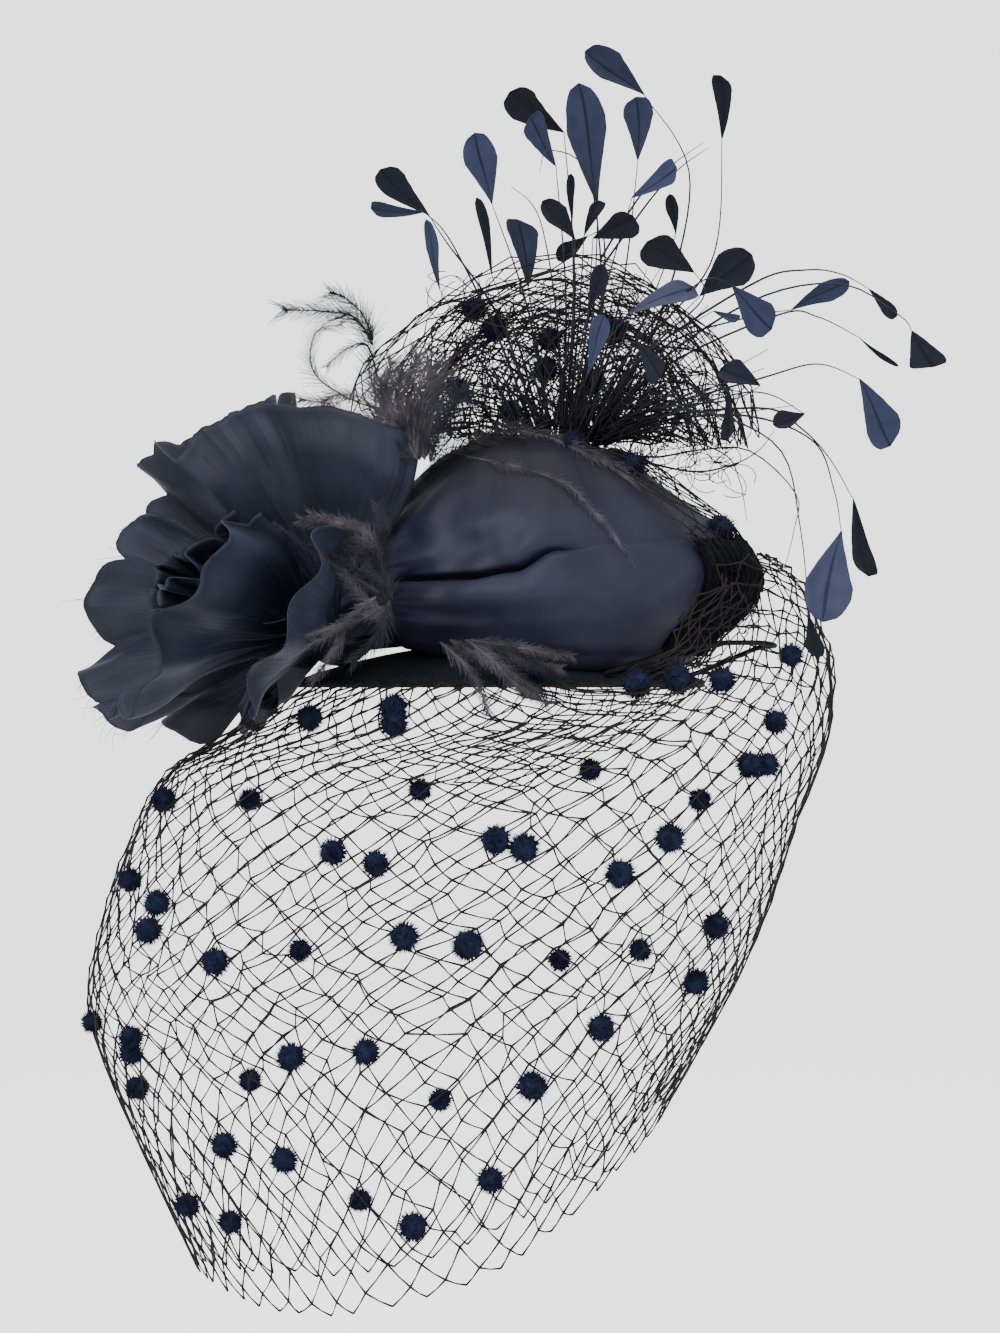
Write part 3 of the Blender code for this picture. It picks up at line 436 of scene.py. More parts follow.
WIRE = cloudy_material("black_wire", (0.002, 0.002, 0.002), (0.007, 0.007, 0.008), 240.0, 0.55,
                       detail=2.0, stops=(0.4, 0.8), gloss=0.12, bump=None)


# Felt base

def base_top(x, y):
    return BASE_WALL - BASE_RISE * ((x / BASE_LONG) ** 2 + (y / BASE_WIDE) ** 2)


def make_base():
    """Felt dome with a rounded rolled edge."""
    bpy.ops.object.select_all(action="DESELECT")
    bpy.ops.mesh.primitive_circle_add(vertices=72, radius=1.0, fill_type="NGON", location=(0, 0, 0))
    piece = primitive_piece("felt_base", FELT)
    bpy.ops.object.mode_set(mode="EDIT")
    bpy.ops.mesh.select_all(action="SELECT")
    for _ in range(11):
        bpy.ops.mesh.inset(thickness=1.0 / 12, depth=0.0)
    bpy.ops.mesh.poke()
    bpy.ops.object.mode_set(mode="OBJECT")
    middle = BASE_WALL / 2
    for vertex in piece.data.vertices:
        x = vertex.co.x * (BASE_LONG - middle)
        y = vertex.co.y * (BASE_WIDE - middle)
        vertex.co = (x, y, base_top(x, y) - middle)
    give_wall(piece, BASE_WALL)
    set_outward(piece)
    settle(piece, ("hat_base",))


# Silk crown, in rows of height, front, back and half width, each a share of the crown's own box
CROWN_ROWS = (
    (0.0, 0.78, 0.7, 0.78),
    (0.09, 0.93, 0.87, 0.93),
    (0.21, 1.0, 0.98, 1.0),
    (0.38, 1.0, 1.0, 1.0),
    (0.57, 0.97, 0.88, 0.92),
    (0.74, 0.72, 0.68, 0.76),
    (0.9, 0.42, 0.5, 0.52),
    (0.985, 0.07, 0.3, 0.24),
)


CROWN_HEIGHTS, *CROWN_SHARES = zip(*CROWN_ROWS)


def crown_row_at(height):
    for index, (low, high) in enumerate(zip(CROWN_HEIGHTS, CROWN_HEIGHTS[1:])):
        if height <= high:
            return index + (height - low) / (high - low)
    return len(CROWN_ROWS) - 1.0


def crown_sizes(height):
    """Front, back and half width of the crown at a share of its height."""
    place = crown_row_at(height)
    front, back, half = [catmull(shares, place) for shares in CROWN_SHARES]
    return front * -CROWN_FRONT, back * CROWN_BACK, half * CROWN_HALF


def bell(value, middle, width):
    return math.exp(-((value - middle) / width) ** 2)


def between(value, low, rise, high, fall):
    """1 between two limits, with a smooth rise after the low one and a fall before the high one."""
    return smooth_step((value - low) / rise) * smooth_step((high - value) / fall)


def ring_noise(turn, reach, level):
    """Noise that closes on itself round the hat."""
    return noise.noise(Vector((math.cos(turn) * reach, math.sin(turn) * reach, level)))


# Lip of the turned-up band: angle round the crown and height as a share of the crown's own
CUFF_TOP = (
    (44, 0.50), (75, 0.475), (92, 0.435), (108, 0.345), (122, 0.315), (150, 0.305), (180, 0.28), (270, 0.34),
    (316, 0.50),
)


# Where the band and the lace start above the crown's foot, as a share of its height
BAND_FOOT = 0.05


def cuff_top_at(angle):
    for (low, low_height), (high, high_height) in zip(CUFF_TOP, CUFF_TOP[1:]):
        if angle <= high:
            part = (angle - low) / (high - low)
            return low_height + (high_height - low_height) * smooth_step(part)
    return CUFF_TOP[-1][1]


# Single dents of the crown: angle and height of the middle, widths in angle and height, depth
CROWN_DENTS = (
    (116, 0.42, 26, 0.11, 0.0062),
    (150, 0.62, 12, 0.22, 0.0022),
    (62, 0.66, 10, 0.20, 0.0034),
    (84, 0.78, 14, 0.10, 0.0020),
    (205, 0.55, 13, 0.28, 0.0045),
    (262, 0.60, 18, 0.20, 0.0040),
    (318, 0.52, 12, 0.25, 0.0035),
    (52, 0.50, 6, 0.30, -0.0018),
)


def crown_folds(angle, height):
    """Depth of the draped silk: folds that run together at the knot, single dents and a slow swell."""
    angle %= 360
    turn = math.radians(angle)
    from_knot_turn = math.atan2(height - 0.22, (180.0 - abs(angle - 180.0)) / 180.0 - 1.0)
    far = 1.0 - math.exp(-abs(angle - 180.0) / 55.0)
    out = 0.0020 * math.sin(from_knot_turn * 17.0 + 1.5 * math.sin(turn * 2)) * (1 - far)
    for middle, level, width, rise, depth in CROWN_DENTS:
        out -= depth * bell(angle, middle, width) * bell(height, level, rise)
    # the pouf rolls out over the turned-up band, so a dark crease runs under it
    crease = cuff_top_at(angle)
    near = between(angle, 84, 22, 170, 16)
    out += 0.0052 * near * bell(height, crease + 0.090, 0.075)
    out -= 0.0050 * near * bell(height, crease + 0.006, 0.017)
    # the near fold laid over the dark hollow, with its edge running up from the crease
    edge = 131 + 10 * (height - 0.5)
    lap = 1 / (1 + math.exp(-(angle - edge) / 1.6))
    out += 0.0044 * lap * bell(angle, 150, 32) * smooth_step((0.93 - height) / 0.25)
    swell = ring_noise(turn, 1.7, height * 2.6 + 4.0)
    small = ring_noise(turn, 4.5, height * 5.0 + 9.0)
    fine = ring_noise(turn, 11, height * 8.0 + 2.0)
    return out + 0.0026 * swell + 0.0011 * small + 0.0004 * fine


def crown_place(angle, height, out=0.0):
    """Place on the draped crown, or off it by a distance, at an angle round it and a share of its height."""
    front, back, half = crown_sizes(height)
    out += crown_folds(angle, height) * smooth_step(height / 0.12)
    turn = math.radians(angle)
    x = (front + back) / 2 + ((back - front) / 2 + out) * math.cos(turn)
    y = -(half + out) * math.sin(turn)
    lift = smooth_step(height / CROWN_HEIGHTS[1])
    z = (base_top(x, y) + 0.0003) * (1 - lift) + CROWN_TOP * height * lift
    return Vector((x, y, z))


def make_crown():
    """Draped silk pouf."""
    sides = 240
    rows = 116
    points = []
    for row in range(rows + 1):
        height = CROWN_HEIGHTS[-1] * row / rows
        points += [crown_place(360 * side / sides, height) for side in range(sides)]
    faces = grid_faces(sides, rows, closed=True)
    last = rows * sides
    middle = Vector((0, 0, 0))
    for side in range(sides):
        middle += points[last + side] / sides
    points.append(Vector((middle.x, middle.y, CROWN_TOP)))
    for side in range(sides):
        faces.append((last + side, last + (side + 1) % sides, len(points) - 1))
    piece = new_piece("crown_silk", points, faces, SILK, ("silk_crown",), "silk_crown")
    set_outward(piece)
    give_wall(piece, CROWN_CLOTH, -1.0)
    declare_sheet(piece, 0.30, 0.26)
    return piece


def make_cuff():
    """Turned-up silk band: its lip stands off over the dark crease and dies away toward the back."""
    across = 220
    along = 22
    start = CUFF_TOP[0][0]
    end = CUFF_TOP[-1][0]
    points = []
    for row in range(along + 1):
        part = row / along
        for column in range(across + 1):
            angle = start + (end - start) * column / across
            lip = between(angle, 80, 22, 300, 30)
            top = cuff_top_at(angle) + 0.008 * math.sin(math.radians(angle) * 5) * lip
            height = BAND_FOOT + (top - BAND_FOOT) * part
            # fullness of the band, then the lip rolls out and tucks in
            roll = 0.0026 * math.sin(math.pi * min(part * 1.02, 1.0)) * (0.4 + 0.6 * lip)
            stand = 0.0052 * lip * smooth_step((part - 0.30) / 0.60)
            tuck = 0.0026 * lip * smooth_step((part - 0.94) / 0.06)
            slack = 0.0007 * math.sin(math.radians(angle) * 11 + part * 3) * lip
            settle_back = 0.0009 * (1 - lip) * smooth_step((part - 0.8) / 0.2)
            ends = between(angle, start, 16, end, 16)
            out = 0.0002 + (0.0011 + roll) * ends + stand - tuck + slack * part - settle_back * ends
            points.append(crown_place(angle, height, out))
    piece = new_piece("cuff_silk", points, grid_faces(across, along), SILK, ("silk_cuff",), "silk_cuff")
    give_wall(piece, CUFF_CLOTH)
    declare_sheet(piece, 0.36, 0.040)


def make_lace():
    """Pleated dark trim with a ragged edge on the crown's back end."""
    pleat_columns = 6
    across = 24 * pleat_columns
    along = 14
    points = []
    for row in range(along + 1):
        part = row / along
        for column in range(across + 1):
            angle = -43 + 86 * column / across
            ragged = 0.035 * noise.noise(Vector((column * 0.55, 3.1, 0)))
            height = BAND_FOOT + (0.50 + ragged - BAND_FOOT) * part
            pleat = 0.0016 * (1 - math.cos(math.tau * column / pleat_columns + 0.8 * math.sin(part * 4)))
            stray = 0.0008 * noise.noise(Vector((column * 0.3, part * 6, 7)))
            points.append(crown_place(angle, height, 0.0014 + pleat * (0.5 + 0.7 * part) + stray))
    piece = new_piece("lace_trim", points, grid_faces(across, along), LACE, ("end_lace",), "end_lace")
    give_wall(piece, LACE_CLOTH)
    declare_sheet(piece, 0.22, 0.042)
    draw = np.random.default_rng(LACE_SEED)
    threads = []
    for _ in range(420):
        angle, height = draw.uniform(-46, 46), draw.uniform(0.06, 0.52)
        line = []
        for step in range(7):
            angle += draw.normal(0, 1.5)
            height += draw.normal(0, 0.022)
            out = 0.0030 + 0.0020 * math.sin(math.pi * step / 6)
            line.append(crown_place(angle, min(max(height, 0.03), 0.56), out))
        threads.append(line)
    new_piece("lace_threads", *tubes(np.array(threads), 0.00018, 3), LACE, (), "end_lace")


# Bloom
BLOOM_LEAN = 18
BLOOM_TURN = 24
PETAL_TILT = 5
PETAL_LENGTH = 0.098
PETAL_SEED_STEP = 1.7
PETALS = (
    {"name": "petal_back_top", "open": 84, "turn": 340, "half": 40, "length": 0.82, "lobes": 3},
    {"name": "petal_top", "open": 57, "turn": 330, "half": 42, "length": 0.90, "lobes": 3},
    {"name": "petal_top_near", "open": 52, "turn": 24, "half": 15, "length": 0.84, "lobes": 2,
     "tilt": -26, "taper": 0.06, "slope": 0.07, "notch": 0.03, "upright": True},
    {"name": "petal_near", "open": 57, "turn": 102, "half": 42, "length": 0.84, "lobes": 3},
    {"name": "petal_low", "open": 57, "turn": 176, "half": 42, "length": 0.50, "lobes": 2},
    {"name": "petal_far", "open": 57, "turn": 256, "half": 44, "length": 0.80, "lobes": 3},
    {"name": "petal_mid_top", "open": 35, "turn": 322, "half": 42, "length": 0.92, "lobes": 4},
    {"name": "petal_mid_near", "open": 35, "turn": 128, "half": 68, "length": 1.00, "lobes": 4},
    {"name": "petal_mid_far", "open": 35, "turn": 246, "half": 60, "length": 0.94, "lobes": 4},
    {"name": "petal_heart_near", "open": 14, "turn": 100, "half": 70, "length": 0.76, "lobes": 4},
    {"name": "petal_heart_far", "open": 14, "turn": 260, "half": 84, "length": 0.68, "lobes": 4},
)


FRAYED_PETALS = ("petal_mid_near", "petal_mid_far", "petal_near", "petal_low", "petal_far")


def bloom_direction(open_angle, turn_angle):
    """Way out from the knot: opened so far from the bloom's axis, at a turn round it."""
    lean = math.radians(BLOOM_LEAN)
    swing = math.radians(BLOOM_TURN)
    axis = Vector((-math.cos(lean) * math.cos(swing), -math.cos(lean) * math.sin(swing), math.sin(lean)))
    top = Vector((math.sin(lean) * math.cos(swing), math.sin(lean) * math.sin(swing), math.cos(lean)))
    near = Vector((math.sin(swing), -math.cos(swing), 0))
    opened = math.radians(open_angle)
    turn = math.radians(turn_angle)
    return axis * math.cos(opened) + (top * math.cos(turn) + near * math.sin(turn)) * math.sin(opened)


def petal_place(row, side, part, seed):
    """Place on a petal: side runs -1 to 1 across it, part 0 to 1 from the knot to its lobed edge."""
    upright = "upright" in row
    lobe = abs(math.sin(math.pi * row["lobes"] * (side + 1) / 2 + 0.4 * math.sin(seed * 3)))
    notch = row.get("notch", 0.15) * (1 - lobe ** 0.55) * (0.6 + 0.4 * math.sin(seed + side * 3))
    frayed = 0.014 * noise.noise(Vector((side * 9, seed, 0)))
    frayed += 0.005 * noise.noise(Vector((side * 40, seed, 5)))
    taper = row.get("taper", 0.24) * abs(side) ** 3 + row.get("slope", 0.0) * side
    end = PETAL_LENGTH * row["length"] * (1.06 - taper - notch + frayed)
    root = KNOT_RADIUS * 0.6
    reach = root + (end - root) * part
    narrow = 0.55 + 0.45 * smooth_step(part * 1.6)
    turn = row["turn"] + row["half"] * side * narrow
    far = reach / PETAL_LENGTH
    across = side * 0.75 if upright else math.radians(turn)
    ruffle = 0.0040 * far * far * math.sin(across * 7 + far * 3)
    edge = smooth_step((part - 0.55) / 0.45)
    ruffle += 0.0034 * edge * math.sin(across * 15 + seed)
    crease = 0.0012 * math.sin(side * 21 + seed) * math.exp(-part * 2.2)
    crease += 0.0010 * math.sin(side * 47 + seed * 2) * math.exp(-part * 4.0)
    swell = 0.0050 * far * noise.noise(Vector((side * 1.6, part * 2.2, seed)))
    curl = 0.0060 * far * far + 0.0070 * smooth_step((part - 0.72) / 0.28) * math.sin(side * 2 + seed)
    if upright:
        opened = row["open"] - row["tilt"] * side * narrow
        # its back edge leans over the crown
        opened += 9 * smooth_step((side - 0.2) / 0.8) * smooth_step(part * 1.4)
        fold = 0.0012 * math.sin(side * 5 + part * 2) + 0.0075 * smooth_step((part - 0.80) / 0.20)
        relief = ruffle * 0.8 + 0.0060 * far * far + crease * 0.6 + swell * 1.2 + fold
        turn -= math.degrees(relief / max(reach * math.sin(math.radians(opened)), 0.008))
    else:
        opened = row["open"] - PETAL_TILT * side
        opened += math.degrees((ruffle + curl + crease + swell) / max(reach, 0.012))
    return KNOT + bloom_direction(opened, turn) * reach


def make_petals():
    for number, row in enumerate(PETALS):
        across = 72
        along = 34
        points = []
        uv = []
        for step in range(along + 1):
            for column in range(across + 1):
                side = 2 * column / across - 1
                points.append(petal_place(row, side, step / along, number * PETAL_SEED_STEP))
                uv.append((side, step / along))
        piece = new_piece("silk_" + row["name"], points, grid_faces(across, along), PETAL_SILK,
                          (row["name"],), row["name"])
        add_uv(piece, uv)
        give_wall(piece, PETAL_CLOTH)
        spread = min(row["half"] - row.get("tilt", 0.0), 60)
        width = 2 * PETAL_LENGTH * row["length"] * math.sin(math.radians(spread))
        declare_sheet(piece, width, PETAL_LENGTH * row["length"])


def declare_sheet(piece, width, length):
    """Works out a flat cut wide enough to hold the area that one side of the piece shows; nothing is done
    with it.
    """
    area = sum(face.area for face in piece.data.polygons) / 2
    if width * length < area:
        width = area / length


def make_knot():
    """Gathered silk knot."""
    bpy.ops.object.select_all(action="DESELECT")
    bpy.ops.mesh.primitive_uv_sphere_add(segments=64, ring_count=40, radius=KNOT_RADIUS, location=KNOT)
    piece = primitive_piece("silk_knot", SILK)
    bpy.ops.object.transform_apply(location=True, rotation=True, scale=True)
    for vertex in piece.data.vertices:
        away = vertex.co - KNOT
        turn = math.atan2(away.y, away.z)
        dent = 0.0011 * math.sin(turn * 9 + away.x * 160) + 0.0008 * noise.noise(away * 220)
        vertex.co = KNOT + away * (1 + dent / KNOT_RADIUS)
    piece.data.shade_smooth()
    settle(piece, ("flower_core",))


def make_gather():
    """Neck of pleated silk that runs from the crown's front into the knot."""
    across = 144
    along = 18
    points = []
    for row in range(along + 1):
        part = row / along
        for column in range(across):
            turn = math.tau * column / across
            far = crown_place(180 - 40 * math.cos(turn), 0.36 + 0.32 * math.sin(turn), -0.001)
            wave = math.sin(turn * 13 + 0.6 * math.sin(turn * 4))
            drawn = 1 + 0.10 * wave
            root_y = -0.0100 * math.cos(turn) * drawn
            root_z = 0.006 + 0.0125 * math.sin(turn) * drawn
            root = KNOT + Vector((-0.002, root_y, root_z))
            share = smooth_step(part) * 0.6 + part * 0.4
            place = root.lerp(far, share)
            pleat = 0.0016 * wave * math.sin(math.pi * part)
            waist = 0.0012 * math.sin(math.pi * part)
            away = Vector((0, -math.cos(turn), math.sin(turn)))
            points.append(place + away * (pleat - waist))
    piece = new_piece("gathered_silk", points, grid_faces(across, along, closed=True), SILK, (), "silk_crown")
    set_outward(piece)
    give_wall(piece, GATHER_CLOTH)
    declare_sheet(piece, 0.24, 0.036)


def make_fray():
    """Loose threads pulled out of the lobed edges of the lower petals."""
    draw = np.random.default_rng(FRAY_SEED)
    lines = []
    for number, row in enumerate(PETALS):
        if row["name"] not in FRAYED_PETALS:
            continue
        for _ in range(26):
            side = draw.uniform(-0.92, 0.92)
            edge = petal_place(row, side, 0.985, number * PETAL_SEED_STEP)
            inside = petal_place(row, side, 0.93, number * PETAL_SEED_STEP)
            ahead = (edge - inside).normalized()
            ahead = (ahead + Vector(draw.normal(0, 0.28, 3)) + Vector((0, 0, -0.45))).normalized()
            length = draw.uniform(0.003, 0.0095)
            bend = Vector(draw.normal(0, 0.25, 3)) * length
            lines.append([edge + ahead * length * step / 6 + bend * (step / 6) ** 2 for step in range(7)])
    threads = tubes(np.array(lines), np.linspace(0.00013, 0.00006, 7), 3)
    new_piece("frayed_threads", *threads, DARK_PLUME, (), "petal_mid_near")


# Veil
VEIL_FRONT = 0.148
VEIL_BACK = 0.119
VEIL_HALF = 0.100
VEIL_DROP = 0.222
VEIL_BACK_LIFT = 0.046
# Its rows below the top edge: front, back and half width as shares of the sizes above, how far down
# the front and back are as shares of the drop, how late the one turns into the other, sag of the sides
VEIL_ROWS = (
    (0.66, 0.91, 0.78, 0.135, -0.11, 4.0, 0.0),
    (0.81, 1.0, 0.9, 0.2, 0.0, 3.0, 0.0),
    (0.9, 1.0, 0.97, 0.31, 0.13, 2.0, 0.0),
    (0.97, 0.9, 1.0, 0.45, 0.28, 1.5, 0.01),
    (1.0, 0.82, 0.98, 0.57, 0.41, 1.2, 0.03),
    (0.95, 0.72, 0.92, 0.69, 0.53, 1.0, 0.06),
    (0.85, 0.6, 0.84, 0.84, 0.64, 1.0, 0.11),
    (0.73, 0.49, 0.74, 1.0, 0.735, 1.0, 0.15),
)


def crown_reach(turn, height):
    """Distance from the middle to the crown's skin, in a direction and at a share of its height."""
    front, back, half = crown_sizes(height)
    middle = (front + back) / 2
    long_half = (back - front) / 2
    a = (math.cos(turn) / long_half) ** 2 + (math.sin(turn) / half) ** 2
    b = -2 * math.cos(turn) * middle / long_half ** 2
    c = (middle / long_half) ** 2 - 1
    return (-b + math.sqrt(b * b - 4 * a * c)) / (2 * a)


def veil_ring(turn):
    """Gathered top edge of the veil, round the base's rim and up behind the crown."""
    lift = smooth_step((math.cos(turn) - 0.55) / 0.4)
    rim_level = base_top(BASE_LONG, 0)
    z = rim_level + (VEIL_BACK_LIFT - rim_level) * lift * 0.8
    rim = BASE_LONG * BASE_WIDE / math.hypot(BASE_WIDE * math.cos(turn), BASE_LONG * math.sin(turn))
    reach = rim + 0.0012
    if lift > 0:
        reach += max(crown_reach(turn, 0.21) + 0.0085 - reach, 0.0) * smooth_step(4 * lift)
    return Vector((reach * math.cos(turn), -reach * math.sin(turn), z))


def veil_row_place(row, turn):
    if row == 0:
        return veil_ring(turn)
    front_share, back_share, half, front_drop, back_drop, late, sag = VEIL_ROWS[row - 1]
    cos = math.cos(turn)
    sin = math.sin(turn)
    front = VEIL_FRONT * front_share
    back = VEIL_BACK * back_share
    drop = front_drop + (back_drop - front_drop) * ((1 + cos) / 2) ** late + sag * sin * sin
    x = (back - front) / 2 + (back + front) / 2 * math.copysign(abs(cos) ** 0.9, cos)
    y = -VEIL_HALF * half * math.copysign(abs(sin) ** 0.9, sin)
    return Vector((x, y, -VEIL_DROP * drop))


def veil_surface(across=180, along=96):
    """Grid of places on the veil: rows from the top edge to the hem, columns round from the back."""
    grid = np.empty((along + 1, across + 1, 3))
    for column in range(across + 1):
        turn = math.tau * column / across
        points = [veil_row_place(row, turn) for row in range(len(VEIL_ROWS) + 1)]
        for row in range(along + 1):
            part = row / along
            place = catmull(points, part * len(VEIL_ROWS))
            gather = 0.0032 * math.exp(-part * 5.0) * math.sin(turn * 31 + 2 * math.sin(turn * 3))
            swing = 0.0035 * part * ring_noise(turn, 1.5, part * 2)
            outward = Vector((place.x, place.y, 0)).normalized()
            place = place + outward * (gather + swing)
            grid[row, column] = place
    return grid


def grid_place(grid, u, v):
    """Places on a grid at shares u round it and v down it, worked out together."""
    rows, columns = grid.shape[0] - 1, grid.shape[1] - 1
    x = np.clip(u, 0, 1) * columns
    y = np.clip(v, 0, 1) * rows
    left = np.minimum(x.astype(int), columns - 1)
    upper = np.minimum(y.astype(int), rows - 1)
    fx = (x - left)[..., None]
    fy = (y - upper)[..., None]
    top = grid[upper, left] * (1 - fx) + grid[upper, left + 1] * fx
    low = grid[upper + 1, left] * (1 - fx) + grid[upper + 1, left + 1] * fx
    return top * (1 - fy) + low * fy


def net_lines(grid, columns, rows, seed, closed, wobble):
    """Two families of slanting threads that cross in a diamond net: shares along each, and what is kept."""
    draw = np.random.default_rng(seed)
    half_columns = 2 * columns
    jitter_u = draw.normal(0, wobble / columns, (rows + 1, half_columns + 1))
    jitter_v = draw.normal(0, wobble / rows * 1.2, (rows + 1, half_columns + 1))
    jitter_v[0] = 0
    if closed:
        jitter_u[:, -1] = jitter_u[:, 0]
        jitter_v[:, -1] = jitter_v[:, 0]
    lines = []
    steps = np.arange(rows + 1)
    for way in (1, -1):
        for start in range(0, half_columns, 2) if closed else range(-2 * rows, half_columns + 2 * rows, 2):
            index = start + way * steps
            if closed:
                inside = np.ones(rows + 1, bool)
                wrapped = index % half_columns
            else:
                inside = (index >= 0) & (index <= half_columns)
                wrapped = np.clip(index, 0, half_columns)
            u = wrapped / half_columns + jitter_u[steps, wrapped]
            v = steps / rows + jitter_v[steps, wrapped]
            lines.append((u, v, inside))
    return lines


def make_veil(grid):
    """Fine diamond net of the veil, two threads crossing at each knot."""
    columns = 50
    rows = 37
    lines = []
    for u, v, _ in net_lines(grid, columns, rows, VEIL_SEED, True, 0.13):
        lines.append(grid_place(grid, u % 1.0, v))
    lines = np.array(lines)
    fine = np.empty((lines.shape[0], lines.shape[1] * 2 - 1, 3))
    fine[:, ::2] = lines
    fine[:, 1::2] = (lines[:, 1:] + lines[:, :-1]) / 2
    fine[:, 1::2, 2] -= 0.0004
    radii = np.full(fine.shape[:2], NET_THREAD)
    radii[:, ::2] = NET_KNOT
    vertices, faces = tubes(fine, radii)
    new_piece("veil_net", vertices.tolist(), faces, NET, VEIL_PANELS, VEIL_PANELS[0])


def overlap_surface(grid, across=40, along=24):
    """Second layer where the veil's two ends lap: its free edge slants down to the middle of the side."""
    layer = np.empty((along + 1, across + 1, 3))
    for column in range(across + 1):
        share = column / across
        u = 0.085 + 0.180 * share
        limit = 0.10 + 0.27 * share ** 1.2
        for row in range(along + 1):
            v = 0.02 + (limit - 0.02) * row / along
            place = grid_place(grid, np.array([u]), np.array([v]))[0]
            lumps = noise.noise(Vector((share * 5, row * 0.2, 8.0)))
            layer[row, column] = place + np.array([0, -1, 0]) * (0.0016 + 0.0012 * lumps)
    return layer


def make_overlap(grid):
    shapes = open_net(overlap_surface(grid), 10, 13, OVERLAP_SEED, 0.14, NET_THREAD)
    joined_piece("veil_overlap", shapes, NET, (), VEIL_PANELS[0])


def surface_tree(grid):
    rows, columns = grid.shape[0], grid.shape[1]
    points = [Vector(p) for p in grid.reshape(-1, 3)]
    return BVHTree.FromPolygons(points, grid_faces(columns - 1, rows - 1))


def seen_on(tree, px, py, near=True):
    """Where the camera's line through a pixel meets a surface, on its near or far side."""
    eye = Vector((0, -CAMERA_AWAY, EYE_LEVEL))
    ahead = (in_photo(px, py) - eye).normalized()
    hits = []
    start = eye
    for _ in range(6):
        place, _, _, far = tree.ray_cast(start, ahead)
        if place is None:
            break
        hits.append(place)
        start = place + ahead * 0.002
    if not hits:
        return None
    return hits[0] if near else hits[-1]


# Chenille dots on the veil, by pixel, with a size share
VEIL_DOTS = (
    (200, 745, 1.0), (163, 800, 1.0), (130, 880, 0.9), (157, 903, 1.0), (148, 930, 1.05),
    (215, 962, 1.05), (92, 1022, 0.8), (131, 1038, 0.9), (131, 1053, 0.9), (137, 1088, 0.9),
    (291, 1057, 1.05), (366, 1052, 1.0), (224, 1145, 1.0), (284, 1160, 1.0), (187, 1205, 0.95),
    (230, 1222, 0.9), (413, 1227, 1.1), (491, 1180, 1.0), (532, 1086, 1.15), (601, 1028, 1.05),
    (696, 982, 1.0), (716, 926, 1.05), (620, 874, 1.1), (670, 838, 1.1), (496, 840, 1.1),
    (524, 848, 1.1), (333, 852, 1.0), (376, 864, 1.0), (404, 937, 1.1), (468, 945, 1.15),
    (309, 718, 1.0), (393, 708, 1.05), (394, 724, 1.05), (268, 705, 0.8), (530, 685, 1.1),
    (638, 685, 1.1), (679, 680, 1.1), (722, 680, 1.0), (791, 655, 0.9), (776, 722, 0.9),
    (750, 765, 1.0), (767, 765, 0.9),
)
FAR_DOTS = (
    (250, 800, 0.95), (420, 790, 0.95), (590, 770, 0.95), (300, 950, 0.95), (560, 960, 0.95),
    (250, 1080, 0.95), (440, 1100, 0.95), (640, 950, 0.95), (360, 1200, 0.95), (700, 800, 0.95),
)


def make_core():
    """Small round core of a chenille dot."""
    work = bmesh.new()
    bmesh.ops.create_icosphere(work, subdivisions=2, radius=1.0)
    points = np.array([vertex.co[:] for vertex in work.verts])
    faces = [[vertex.index for vertex in face.verts] for face in work.faces]
    work.free()
    return points, faces


CORE_POINTS, CORE_FACES = make_core()


def pompom(draw, centre, radius):
    """Chenille dot: a soft core and short fibres, closed spikes with three sides."""
    count = 420
    ways = unit(draw.normal(size=(count, 3)))
    lengths = radius * draw.uniform(0.90, 1.10, (count, 1))
    guide = unit(np.cross(ways, draw.normal(size=(count, 3))))
    other = np.cross(ways, guide)
    root = ways * radius * 0.55
    thick = 0.00030
    thirds = (0, 2.094, 4.189)
    corners = [root + (guide * math.cos(t) + other * math.sin(t)) * thick for t in thirds]
    tip = ways * lengths + guide * draw.normal(0, 0.0005, (count, 1))
    points = np.stack([*corners, tip], axis=1).reshape(-1, 3)
    start = (np.arange(count) * 4)[:, None]
    sides = ((0, 1, 3), (1, 2, 3), (2, 0, 3), (2, 1, 0))
    faces = np.concatenate([start + np.array([side]) for side in sides])
    lumps = radius * (0.74 + draw.normal(0, 0.03, (len(CORE_POINTS), 1)))
    shapes = [(points + np.asarray(centre), faces.tolist()),
              (CORE_POINTS * lumps + np.asarray(centre), CORE_FACES)]
    return join_shapes(shapes)


def make_dots(trees, name, dots, near, radius, stand_off=0.0):
    """Dots where the camera's line through each pixel meets the first of the given surfaces."""
    draw = np.random.default_rng(DOT_SEED)
    shapes = []
    for px, py, size in dots:
        found = [place for place in (seen_on(tree, px, py, near) for tree in trees) if place is not None]
        if found:
            shapes.append(pompom(draw, found[0] - Vector((0, stand_off, 0)), radius * size))
    joined_piece(name, shapes, CHENILLE, (), VEIL_PANELS[0])


# Bunched net behind the feathers

